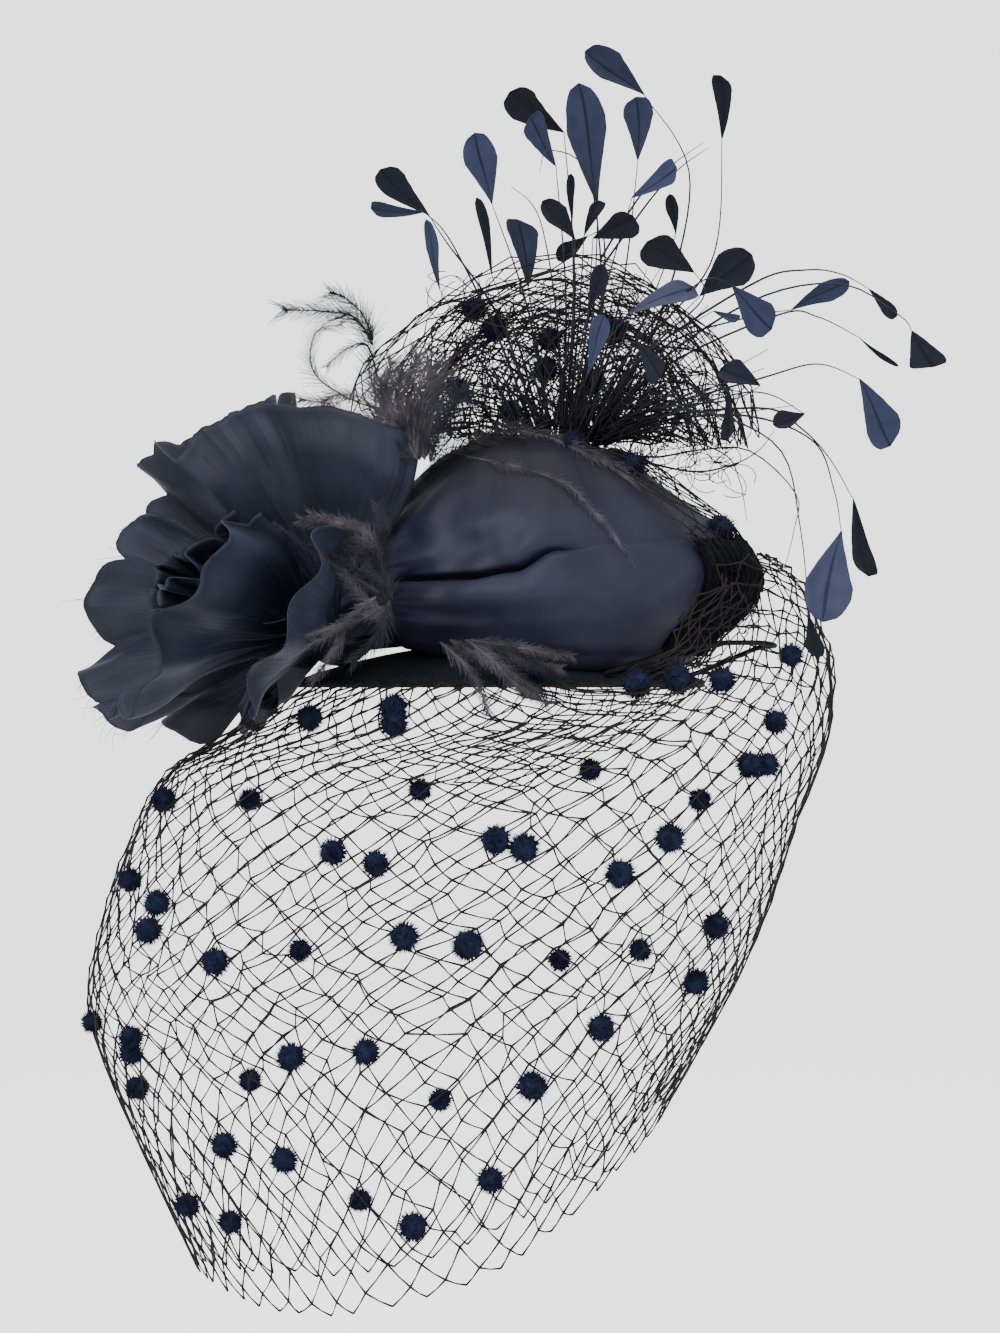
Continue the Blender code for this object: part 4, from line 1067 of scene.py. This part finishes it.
def fan_surface(layer, across=60, along=30):
    """One crumpled layer of the bunched net: it springs from the crown and folds over at its edge."""
    root_x = (FAN_LOW.x + FAN_HIGH.x) / 2
    root_z = CROWN_TOP + 0.001
    grid = np.empty((along + 1, across + 1, 3))
    reach = 0.062 * (1.0 - 0.07 * layer)
    for row in range(along + 1):
        part = row / along
        for column in range(across + 1):
            share = column / across
            angle = math.radians(172 - 172 * share)
            bulge = noise.noise(Vector((share * 3.2, part * 2.0, layer * 3.7)))
            small = noise.noise(Vector((share * 9.0, part * 6.0, layer * 5.1)))
            radius = reach * math.sin(math.pi * 0.5 * min(part * 1.15, 1.0))
            radius *= 1 + 0.16 * bulge + 0.06 * small
            pleat = 0.006 * math.sin(share * 40 + layer * 1.9 + part * 2) * part
            swing = 0.020 * part * math.sin(layer * 2.2)
            depth = -0.012 + 0.013 * layer + swing + pleat + 0.014 * bulge * part
            spread = (share - 0.5) * (0.012 + 0.040 * (1 - part))
            x = root_x + spread + radius * math.cos(angle) * 1.02
            z = root_z + radius * math.sin(angle) - 0.006 * part * (1 - math.sin(angle))
            z -= 5.5 * spread * spread
            grid[row, column] = (x, depth, z)
    return grid


def open_net(grid, columns, rows, seed, wobble, radius):
    """Thread tubes of one open piece of net."""
    shapes = []
    for u, v, inside in net_lines(grid, columns, rows, seed, False, wobble):
        keep = np.nonzero(inside)[0]
        if len(keep) < 2:
            continue
        shapes.append(tubes(grid_place(grid, u[keep], v[keep])[None], radius))
    return shapes


def stray_loops(draw, count, low, high, size, radius):
    """Springy loose threads: short curls scattered through a box."""
    lines = []
    for _ in range(count):
        middle = draw.uniform(low, high)
        first, second = draw.normal(size=(2, 3))
        first /= np.linalg.norm(first)
        second -= first * second.dot(first)
        second /= np.linalg.norm(second)
        reach = size * draw.uniform(0.5, 1.3)
        sweep = draw.uniform(2.4, 5.2)
        drift = draw.normal(0, 0.35, 3) * reach
        line = []
        for step in range(11):
            turn = sweep * step / 10
            place = middle + (first * math.cos(turn) + second * math.sin(turn) * 0.8) * reach
            line.append(place + drift * step / 10)
        lines.append(line)
    return tubes(np.array(lines), radius, 3)


def swath_surface(across=48, along=20):
    """Net that runs from the bunch back over the crown to the veil's top edge."""
    grid = np.empty((along + 1, across + 1, 3))
    for row in range(along + 1):
        part = row / along
        for column in range(across + 1):
            angle = 52 - 150 * column / across
            height = 0.93 - 0.45 * part
            lumps = noise.noise(Vector((column * 0.16, part * 3.0, 2.0)))
            out = 0.0042 + 0.0050 * math.sin(math.pi * part) * (0.6 + lumps) + 0.0015 * lumps
            grid[row, column] = crown_place(angle, height, out)
    return grid


def make_fan():
    shapes = []
    for layer in range(6):
        shapes += open_net(fan_surface(layer), 12, 15, FAN_SEED + layer, 0.16, FAN_THREAD)
    draw = np.random.default_rng(LOOP_SEED)
    middle_x = (FAN_LOW.x + FAN_HIGH.x) / 2
    low = (FAN_LOW.x + 0.020, -0.012, CROWN_TOP + 0.004)
    high = (FAN_HIGH.x - 0.028, 0.030, CROWN_TOP + 0.052)
    shapes.append(stray_loops(draw, 210, low, high, 0.0085, 0.00021))
    low = (FAN_LOW.x + 0.016, -0.020, CROWN_TOP - 0.009)
    high = (middle_x + 0.036, 0.020, CROWN_TOP + 0.011)
    shapes.append(stray_loops(draw, 170, low, high, 0.0070, 0.00022))
    for _ in range(70):
        share = math.radians(draw.uniform(25, 172))
        reach = draw.uniform(0.044, 0.060)
        middle = Vector((middle_x + reach * math.cos(share), draw.uniform(-0.010, 0.026),
                         CROWN_TOP + reach * math.sin(share) * 0.97))
        spot = tuple(middle)
        shapes.append(stray_loops(draw, 1, spot, spot, 0.0075, 0.00022))
    low = (middle_x + 0.030, -0.015, CROWN_TOP - 0.020)
    high = (FAN_HIGH.x - 0.004, 0.025, CROWN_TOP + 0.016)
    shapes.append(stray_loops(draw, 60, low, high, 0.0075, 0.00020))
    shapes += open_net(swath_surface(), 15, 9, SWATH_SEED, 0.14, NET_THREAD)
    joined_piece("bunched_net", shapes, NET, ("net_pouf",), "net_pouf")


FAN_DOTS = (
    (445, 303, 1.0), (474, 310, 0.95), (495, 329, 1.05), (549, 340, 0.95), (545, 369, 1.0),
    (616, 332, 0.95), (593, 382, 0.9), (457, 390, 0.95), (423, 428, 1.05), (574, 442, 0.9),
    (631, 466, 1.05), (677, 478, 0.95), (511, 413, 0.9), (583, 413, 0.85), (720, 530, 1.15),
    (741, 535, 1.15), (420, 655, 1.0),
)


# Feather spray, read off the photo by pixel: where a blade starts and ends, how wide it is, how
# far towards the camera it stands as a share of the spray's own depth, its tint and its stem's route
SPRAY_HUB = (560, 438)
FEATHERS = (
    ((644, 95), (586, 50), 31, -0.10, 0.30, ((655, 330), (690, 180))),
    ((564, 132), (508, 94), 31, 0.02, 0.02, ((575, 290),)),
    ((556, 166), (529, 118), 24, -0.22, 0.45, ((566, 300),)),
    ((598, 205), (573, 84), 38, -0.30, 0.42, ((592, 320),)),
    ((638, 160), (637, 97), 28, -0.44, 0.40, ((620, 300),)),
    ((722, 139), (725, 76), 19, -0.16, 0.02, ((640, 350), (712, 260))),
    ((492, 204), (477, 132), 32, -0.34, 0.50, ((528, 310),)),
    ((429, 215), (380, 170), 27, -0.12, 0.12, ((500, 320), (445, 240))),
    ((424, 212), (371, 212), 15, -0.30, 0.35, ((495, 330), (450, 240))),
    ((440, 290), (423, 220), 12, -0.50, 0.50, ((480, 360),)),
    ((492, 276), (476, 198), 10, -0.62, 0.05, ((520, 350),)),
    ((528, 287), (521, 219), 29, -0.24, 0.35, ((538, 350),)),
    ((575, 240), (545, 199), 22, -0.52, 0.05, ((572, 330),)),
    ((572, 222), (570, 174), 8, -0.30, 0.05, ((573, 320),)),
    ((584, 235), (598, 200), 13, -0.45, 0.10, ((578, 330),)),
    ((588, 236), (559, 262), 17, -0.10, 0.02, ((600, 330), (604, 240))),
    ((593, 238), (632, 214), 28, -0.68, 0.02, ((586, 330),)),
    ((632, 198), (677, 168), 22, -0.60, 0.55, ((600, 310),)),
    ((676, 234), (673, 194), 12, 0.00, 0.10, ((640, 330),)),
    ((694, 272), (648, 240), 34, -0.78, 0.03, ((640, 360), (702, 300))),
    ((628, 314), (693, 284), 24, -0.42, 0.75, ((590, 370),)),
    ((700, 296), (750, 253), 38, -0.24, 0.12, ((630, 370),)),
    ((732, 286), (773, 328), 34, -0.64, 0.45, ((630, 350), (700, 282))),
    ((713, 311), (739, 320), 9, -0.30, 0.60, ((640, 360),)),
    ((589, 308), (605, 265), 17, -0.84, 0.12, ((574, 380),)),
    ((588, 373), (606, 316), 19, -0.98, 0.55, ((576, 405),)),
    ((638, 343), (661, 378), 22, -0.74, 0.15, ((590, 380), (618, 345))),
    ((791, 310), (847, 278), 20, -0.06, 0.45, ((660, 350), (745, 318))),
    ((869, 289), (898, 315), 13, -0.36, 0.15, ((640, 360), (754, 283), (806, 270), (841, 274))),
    ((912, 331), (934, 367), 33, -0.54, 0.14, ((650, 370), (754, 300), (841, 284), (899, 315))),
    ((860, 338), (897, 368), 5, -0.20, 0.02, ((660, 370), (778, 315), (818, 317))),
    ((760, 386), (722, 366), 25, -0.90, 0.18, ((640, 412), (730, 400))),
    ((728, 390), (729, 441), 12, -0.70, 0.02, ((640, 410), (702, 385))),
    ((805, 414), (774, 426), 18, -1.00, 0.10, ((640, 425), (750, 392))),
    ((859, 379), (894, 444), 36, -0.80, 0.48, ((640, 415), (762, 378), (818, 364))),
    ((853, 499), (866, 577), 21, -0.92, 0.02, ((640, 420), (762, 408), (802, 429), (830, 459))),
    ((841, 531), (821, 621), 46, -1.04, 0.62, ((640, 425), (740, 415), (812, 440), (834, 490))),
    ((809, 616), (814, 658), 17, -1.00, 0.02, ((620, 418), (699, 411), (778, 447), (800, 526))),
)
BARE_STEMS = (
    ((560, 438), (644, 457), (699, 450), (750, 451), (796, 494), (794, 530), (784, 570)),
    ((600, 450), (687, 471), (731, 465), (758, 451), (774, 431)),
    ((560, 438), (640, 430), (719, 451), (739, 479), (747, 522)),
    ((560, 438), (558, 330), (540, 220), (511, 186)),
    ((600, 260), (640, 196), (672, 165), (703, 143)),
    ((600, 270), (650, 200), (680, 168), (708, 148)),
    ((560, 438), (600, 330), (590, 180), (549, 150), (540, 172)),
)


def blade_profile(part, cut):
    """Half width of a trimmed blade at a share of its length: wedge foot, round or slanting end."""
    widest = 0.60 + 0.20 * cut
    if part < widest:
        return max((part / widest) ** (1.0 - 0.15 * cut), 0.02)
    close = (part - widest) / (1 - widest)
    return max(math.sqrt(max(1 - close ** (2.2 + 1.2 * cut), 0)), 0.02)


def photo_line(points, start_depth, end_depth, steps):
    """Smooth line through pixels, moving evenly from one depth to another."""
    last = len(points) - 1
    line = []
    for step in range(steps + 1):
        part = step / steps
        spot = catmull([Vector((p[0], p[1])) for p in points], part * last)
        depth = start_depth + (end_depth - start_depth) * smooth_step(part)
        line.append(in_photo(spot.x, spot.y, depth))
    return line


def make_blade(number, foot_pixel, tip_pixel, wide, depth):
    """Cupped, trimmed vane: vertices, faces and UV."""
    foot = in_photo(*foot_pixel, depth)
    tip = in_photo(*tip_pixel, depth * 1.03)
    ahead = tip - foot
    length = ahead.length
    ahead.normalize()
    side = ahead.cross(Vector((0, 1, 0))).normalized()
    face = side.cross(ahead).normalized()
    lean = math.radians((number * 47) % 50 - 25)
    side = (side * math.cos(lean) + face * math.sin(lean)).normalized()
    face = side.cross(ahead).normalized()
    wide *= PIXEL * 0.56 / math.cos(lean)
    cut = (number % 3) / 2
    skew = (0.12 + 0.30 * cut) * (1 if number % 2 else -1)
    bow = 0.09 * length * math.sin(number * 2.3)
    along = 20
    across = 10
    points = []
    uv = []
    for step in range(along + 1):
        part = step / along
        half = wide * blade_profile(part, cut)
        for column in range(across + 1):
            share = 2 * column / across - 1
            lopsided = share * (1.0 if share < 0 else 0.86)
            torn = 1 + 0.05 * noise.noise(Vector((part * 9, share, number)))
            cup = 0.35 * half * share * share + 0.0004 * abs(share)
            slant = skew * half * share * part ** 3
            place = foot + ahead * (length * part + slant) + side * (half * lopsided * torn)
            sway = 0.06 * length * math.sin(part * 2.6 + number)
            place += face * (bow * part * part - cup) + side * sway * part
            points.append(place)
            uv.append((part + length * 3, share))
    return points, grid_faces(across, along), uv


def stem_root(toward):
    """Pixel where a stem leaves the crown: stems that lean left start left in the tied bunch."""
    lean = math.atan2(SPRAY_HUB[1] - toward[1], toward[0] - SPRAY_HUB[0])
    return (SPRAY_HUB[0] + 42 * math.cos(lean), SPRAY_HUB[1] + 6 * abs(math.cos(lean)))


def make_stubs(draw, count):
    """Bare trimmed stems that fill the bunch between the longer ones."""
    lines = []
    for _ in range(count):
        lean = math.radians(draw.uniform(8, 128))
        length = draw.uniform(60, 190) * (1.0 if lean < 1.6 else 0.75)
        root = (SPRAY_HUB[0] + 46 * math.cos(lean) + draw.normal(0, 9), SPRAY_HUB[1] + draw.uniform(-4, 10))
        tip = (root[0] + length * math.cos(lean), root[1] - length * math.sin(lean))
        bend = ((root[0] + tip[0]) / 2 + draw.normal(0, 5), (root[1] + tip[1]) / 2 - 4)
        depth = draw.uniform(-0.034, 0.006)
        lines.append(photo_line([root, bend, tip], depth * 0.3, depth, 6))
    return tubes(np.array(lines), np.linspace(0.00042, 0.00016, 7), 3)


def make_spray():
    """Vanes and stems of the feather spray."""
    reach = (SPRAY_HIGH.y - SPRAY_LOW.y) * 0.88
    blades = []
    vane_uv = []
    vane_tint = []
    stems = []
    for number, (foot, tip, wide, share, tint, via) in enumerate(FEATHERS):
        depth = share * reach
        points, faces, uv = make_blade(number, foot, tip, wide, depth)
        blades.append((points, faces))
        vane_uv += uv
        vane_tint += [tint] * len(points)
        line = np.array([photo_line([stem_root(via[0]), *via, foot], 0.0, depth, 26)])
        stems.append(tubes(line, np.linspace(0.00062, 0.00016, line.shape[1]), 5))
    for number, route in enumerate(BARE_STEMS):
        line = np.array([photo_line(route, 0.0, -0.012 - 0.006 * number, 24)])
        stems.append(tubes(line, np.linspace(0.00050, 0.00012, line.shape[1]), 5))
    vanes = joined_piece("feather_vanes", blades, VANE, ("feather_spray",), "feather_spray")
    add_uv(vanes, vane_uv)
    tint = vanes.data.attributes.new("tint", "FLOAT", "POINT")
    tint.data.foreach_set("value", vane_tint)
    give_wall(vanes, VANE_WALL)
    stems.append(make_stubs(np.random.default_rng(STUB_SEED), 110))
    joined_piece("feather_stems", stems, STEM, (), "feather_spray")


# Plumes and brush strands

BARB_SWEEP = 0.55
BARB_DROOP = 0.25
BARB_TAPER = 0.45
BARB_RADIUS = 0.00013


def plume_shapes(draw, line, barbs, length):
    """Thin rib with barbs that fan off both sides and bend."""
    shapes = [tubes(np.array([[tuple(p) for p in line]]), np.linspace(0.00035, 0.0001, len(line)), 4)]
    count = len(line) - 1
    barb_lines = []
    for number in range(barbs):
        part = (number + 0.5) / barbs
        place = part * count
        here = catmull(line, place)
        ahead = (catmull(line, min(place + 0.4, count)) - catmull(line, max(place - 0.4, 0))).normalized()
        side = ahead.cross(Vector(draw.normal(0, 0.45, 3)) + Vector((0, -1, 0))).normalized()
        if number % 2:
            side = -side
        size = length * (1 - BARB_TAPER * part) * draw.uniform(0.6, 1.15) * smooth_step(part * 6 + 0.25)
        way = (side * (1 - BARB_SWEEP) + ahead * BARB_SWEEP).normalized()
        bend = Vector(draw.normal(0, 0.25, 3)) + Vector((0, 0, -BARB_DROOP))
        points = []
        for step in range(5):
            t = step / 4
            points.append(tuple(here + way * size * t + (ahead * 0.25 + bend) * size * t * t * 0.5))
        barb_lines.append(points)
    shapes.append(tubes(np.array(barb_lines), np.linspace(BARB_RADIUS, BARB_RADIUS * 0.35, 5), 3))
    return shapes


# Plumes by pixel: barbs on each side, length of a barb, shade and the rib's route
HACKLES = (
    (60, 0.010, "dark", ((383, 404), (373, 387), (369, 363), (373, 328))),
    (110, 0.011, "dark", ((373, 345), (354, 317), (319, 311), (283, 310))),
    (60, 0.010, "dark", ((373, 340), (363, 315), (345, 298), (330, 292))),
    (50, 0.006, "dark", ((378, 380), (367, 345), (345, 350), (327, 367))),
    (90, 0.008, "light", ((380, 410), (348, 398), (318, 378), (310, 355), (318, 330), (342, 325))),
    (80, 0.009, "light", ((400, 440), (360, 425), (330, 405), (300, 400))),
    (60, 0.008, "light", ((400, 440), (365, 400), (340, 395), (322, 402))),
    (150, 0.012, "light", ((415, 455), (395, 425), (385, 395), (392, 362))),
    (150, 0.013, "light", ((420, 455), (410, 420), (408, 385), (418, 355))),
    (130, 0.012, "light", ((425, 458), (430, 425), (436, 395), (446, 372))),
    (100, 0.010, "light", ((415, 458), (400, 440), (380, 425), (365, 420))),
    (190, 0.015, "light", ((420, 460), (412, 430), (398, 405), (402, 374))),
    (190, 0.015, "light", ((425, 460), (420, 425), (425, 395), (432, 366))),
    (190, 0.014, "light", ((418, 460), (400, 430), (386, 412), (380, 380))),
    (150, 0.012, "dark", ((430, 462), (440, 430), (452, 405), (468, 390))),
    (120, 0.007, "dark", ((415, 462), (398, 450), (382, 444), (366, 446))),
)
CREST = (
    (360, 0.008, "light",
     ((420, 478), (448, 456), (480, 439), (512, 430), (552, 438), (583, 451), (612, 466), (640, 488))),
    (150, 0.004, "light",
     ((465, 456), (495, 462), (524, 468), (568, 485), (591, 509), (612, 532), (640, 582))),
)
FRONT_BRUSH = (
    (110, 0.006, "light", ((384, 585), (350, 545), (325, 528), (300, 520))),
    (110, 0.006, "light", ((386, 575), (360, 535), (340, 522), (310, 515))),
    (90, 0.005, "light", ((386, 560), (370, 535), (355, 525), (330, 524))),
    (110, 0.006, "light", ((388, 596), (372, 556), (356, 540), (318, 540))),
    (110, 0.006, "dark", ((390, 604), (380, 570), (366, 552), (330, 548))),
    (130, 0.007, "dark", ((392, 600), (386, 560), (384, 535), (378, 505))),
    (110, 0.006, "dark", ((388, 612), (376, 590), (352, 566), (326, 556))),
    (110, 0.006, "light", ((392, 616), (380, 612), (362, 596), (344, 574))),
    (80, 0.003, "dark", ((379, 592), (335, 566), (305, 545), (274, 523))),
    (110, 0.005, "light", ((376, 597), (350, 618), (325, 638), (264, 660))),
    (90, 0.004, "light", ((384, 606), (356, 622), (330, 628), (296, 640))),
    (110, 0.007, "dark", ((390, 600), (384, 624), (376, 640), (352, 662))),
)
LOW_BRUSH = (
    (150, 0.006, "light", ((450, 640), (480, 655), (510, 672), (545, 695))),
    (150, 0.006, "light", ((465, 640), (505, 652), (535, 664), (560, 668))),
    (120, 0.005, "light", ((470, 640), (520, 648), (545, 652), (572, 656))),
    (110, 0.005, "light", ((440, 642), (465, 665), (480, 690), (488, 712))),
    (130, 0.006, "light", ((470, 642), (495, 662), (516, 684), (548, 704))),
    (110, 0.004, "dark", ((500, 642), (530, 660), (552, 672), (566, 690))),
    (80, 0.005, "light", ((345, 630), (335, 650), (322, 668), (312, 680))),
)


def on_crown(tree, px, py, stand_off, fallback):
    """Place just off the crown's near skin at a pixel of the photo."""
    place = seen_on(tree, px, py)
    depth = fallback if place is None else place.y
    return in_photo(px, py, depth - stand_off)


def make_plumes(name, rows, node, seed, place_of):
    draw = np.random.default_rng(seed)
    shapes = {"light": [], "dark": []}
    for number, (barbs, length, shade, route) in enumerate(rows):
        line = [place_of(number, px, py) for px, py in route]
        smooth = [catmull(line, place * (len(line) - 1) / 16) for place in range(17)]
        shapes[shade] += plume_shapes(draw, smooth, barbs * 2, length)
    joined_piece(name, shapes["light"], PLUME, (node,), node)
    if shapes["dark"]:
        joined_piece(name + "_dark", shapes["dark"], DARK_PLUME, (), node)


def make_wire():
    """Smooth lacquered wire bent in a flat loop."""
    low, high = node_size("wire_loop")
    radius = 0.0009
    route = (
        (low.x + 0.001, low.y + 0.001, -0.0085), (low.x + 0.013, low.y + 0.002, -0.0045),
        (high.x - 0.030, low.y + 0.009, 0.0015), (high.x - 0.009, low.y + 0.012, 0.0025),
        (high.x - radius, (low.y + high.y) / 2 + 0.002, 0.0015), (high.x - 0.007, high.y - 0.007, 0.0005),
        (low.x + 0.043, high.y - 0.002, -0.0050), (low.x + 0.033, high.y - 0.001, -0.0090),
    )
    points = [Vector(p) for p in route]
    line = [tuple(catmull(points, step * (len(points) - 1) / 70)) for step in range(71)]
    vertices, faces = tubes(np.array([line]), radius, 12)
    new_piece("wire_bend", vertices.tolist(), faces, WIRE, ("wire_loop",), "wire_loop")


# Camera, floor and light

def make_stage():
    scene = bpy.context.scene
    camera = link_object("camera", bpy.data.cameras.new("camera"))
    camera.data.sensor_width = SENSOR
    camera.data.lens = SENSOR * CAMERA_AWAY / (PHOTO_HEIGHT * PIXEL)
    camera.location = (0, -CAMERA_AWAY, EYE_LEVEL)
    camera.rotation_euler = (math.pi / 2, 0, 0)
    scene.camera = camera
    # round floor that turns up into a plain wall all round, so every side has the same backdrop
    profile = [(0.0005, 0.0), (1.5, 0.0), (3.0, 0.0), (FLOOR_FLAT, 0.0)]
    for step in range(1, 13):
        turn = math.radians(90 * step / 12)
        profile.append((FLOOR_FLAT + FLOOR_COVE * math.sin(turn), FLOOR_COVE * (1 - math.cos(turn))))
    profile.append((FLOOR_FLAT + FLOOR_COVE, WALL_TOP))
    sides = 64
    points = []
    for radius, height in profile:
        for side in range(sides):
            turn = math.tau * side / sides
            points.append((radius * math.cos(turn), radius * math.sin(turn), FLOOR_LEVEL + height))
    faces = grid_faces(sides, len(profile) - 1, closed=True)
    material, tree, shader = base_material("pale_floor", 0.9)
    # the backdrop shows brighter to the camera than the light it gives back
    to_camera = add_node(tree, "LightPath").outputs["Is Camera Ray"]
    glow = maths(tree, "MULTIPLY_ADD", to_camera, 1.30, 0.10)
    feed(tree, shader, {"Base Color": (0.90, 0.90, 0.90, 1), "Emission Color": (1, 1, 1, 1),
                        "Emission Strength": glow})
    link_mesh("floor", points, faces, material)
    world = bpy.data.worlds.new("studio")
    world.use_nodes = True
    world.node_tree.nodes["Background"].inputs["Color"].default_value = (0.86, 0.88, 0.92, 1)
    world.node_tree.nodes["Background"].inputs["Strength"].default_value = 1.05
    scene.world = world
    lights = (
        ("key_light", (-0.9, -1.5, 1.3), 1.1, 32.0),
        ("fill_light", (1.4, -1.2, 0.5), 1.4, 10.0),
        ("top_light", (0.1, 0.3, 1.6), 1.0, 9.0),
    )
    for name, place, size, power in lights:
        data = bpy.data.lights.new(name, "AREA")
        data.size = size
        data.energy = power
        light = link_object(name, data)
        light.location = place
        light.rotation_euler = (-Vector(place)).to_track_quat("-Z", "Y").to_euler()


make_stage()
make_base()
make_knot()
CROWN = make_crown()
make_cuff()
make_lace()
make_petals()
make_gather()
make_fray()
VEIL_GRID = veil_surface()
VEIL_TREE = surface_tree(VEIL_GRID)
make_veil(VEIL_GRID)
make_overlap(VEIL_GRID)
make_dots((VEIL_TREE,), "veil_dots", VEIL_DOTS, True, DOT_RADIUS)
make_dots((VEIL_TREE,), "veil_dots_far", FAR_DOTS, False, FAR_DOT_RADIUS)
CROWN_TREE = BVHTree.FromPolygons([vertex.co.copy() for vertex in CROWN.data.vertices],
                                  [tuple(face.vertices) for face in CROWN.data.polygons])
make_fan()
FAN_TREE = surface_tree(fan_surface(1))
make_dots((CROWN_TREE, FAN_TREE, VEIL_TREE), "bunch_dots", FAN_DOTS, True, DOT_RADIUS, BUNCH_DOT_OFF)
make_spray()
make_plumes("hackle_barbs", HACKLES, "hackle_plume", 21,
            lambda n, px, py: in_photo(px, py, -0.010 - 0.002 * n))
make_plumes("crest_barbs", CREST, "crest_plume", 22,
            lambda n, px, py: on_crown(CROWN_TREE, px, py, 0.0024, -0.012))
make_plumes("front_brush", FRONT_BRUSH, "grey_tuft_front", 23,
            lambda n, px, py: in_photo(px, py, -0.050 - 0.003 * n))
make_plumes("low_brush", LOW_BRUSH, "grey_tuft_low", 24,
            lambda n, px, py: in_photo(px, py, -0.064 - 0.002 * n))
make_wire()
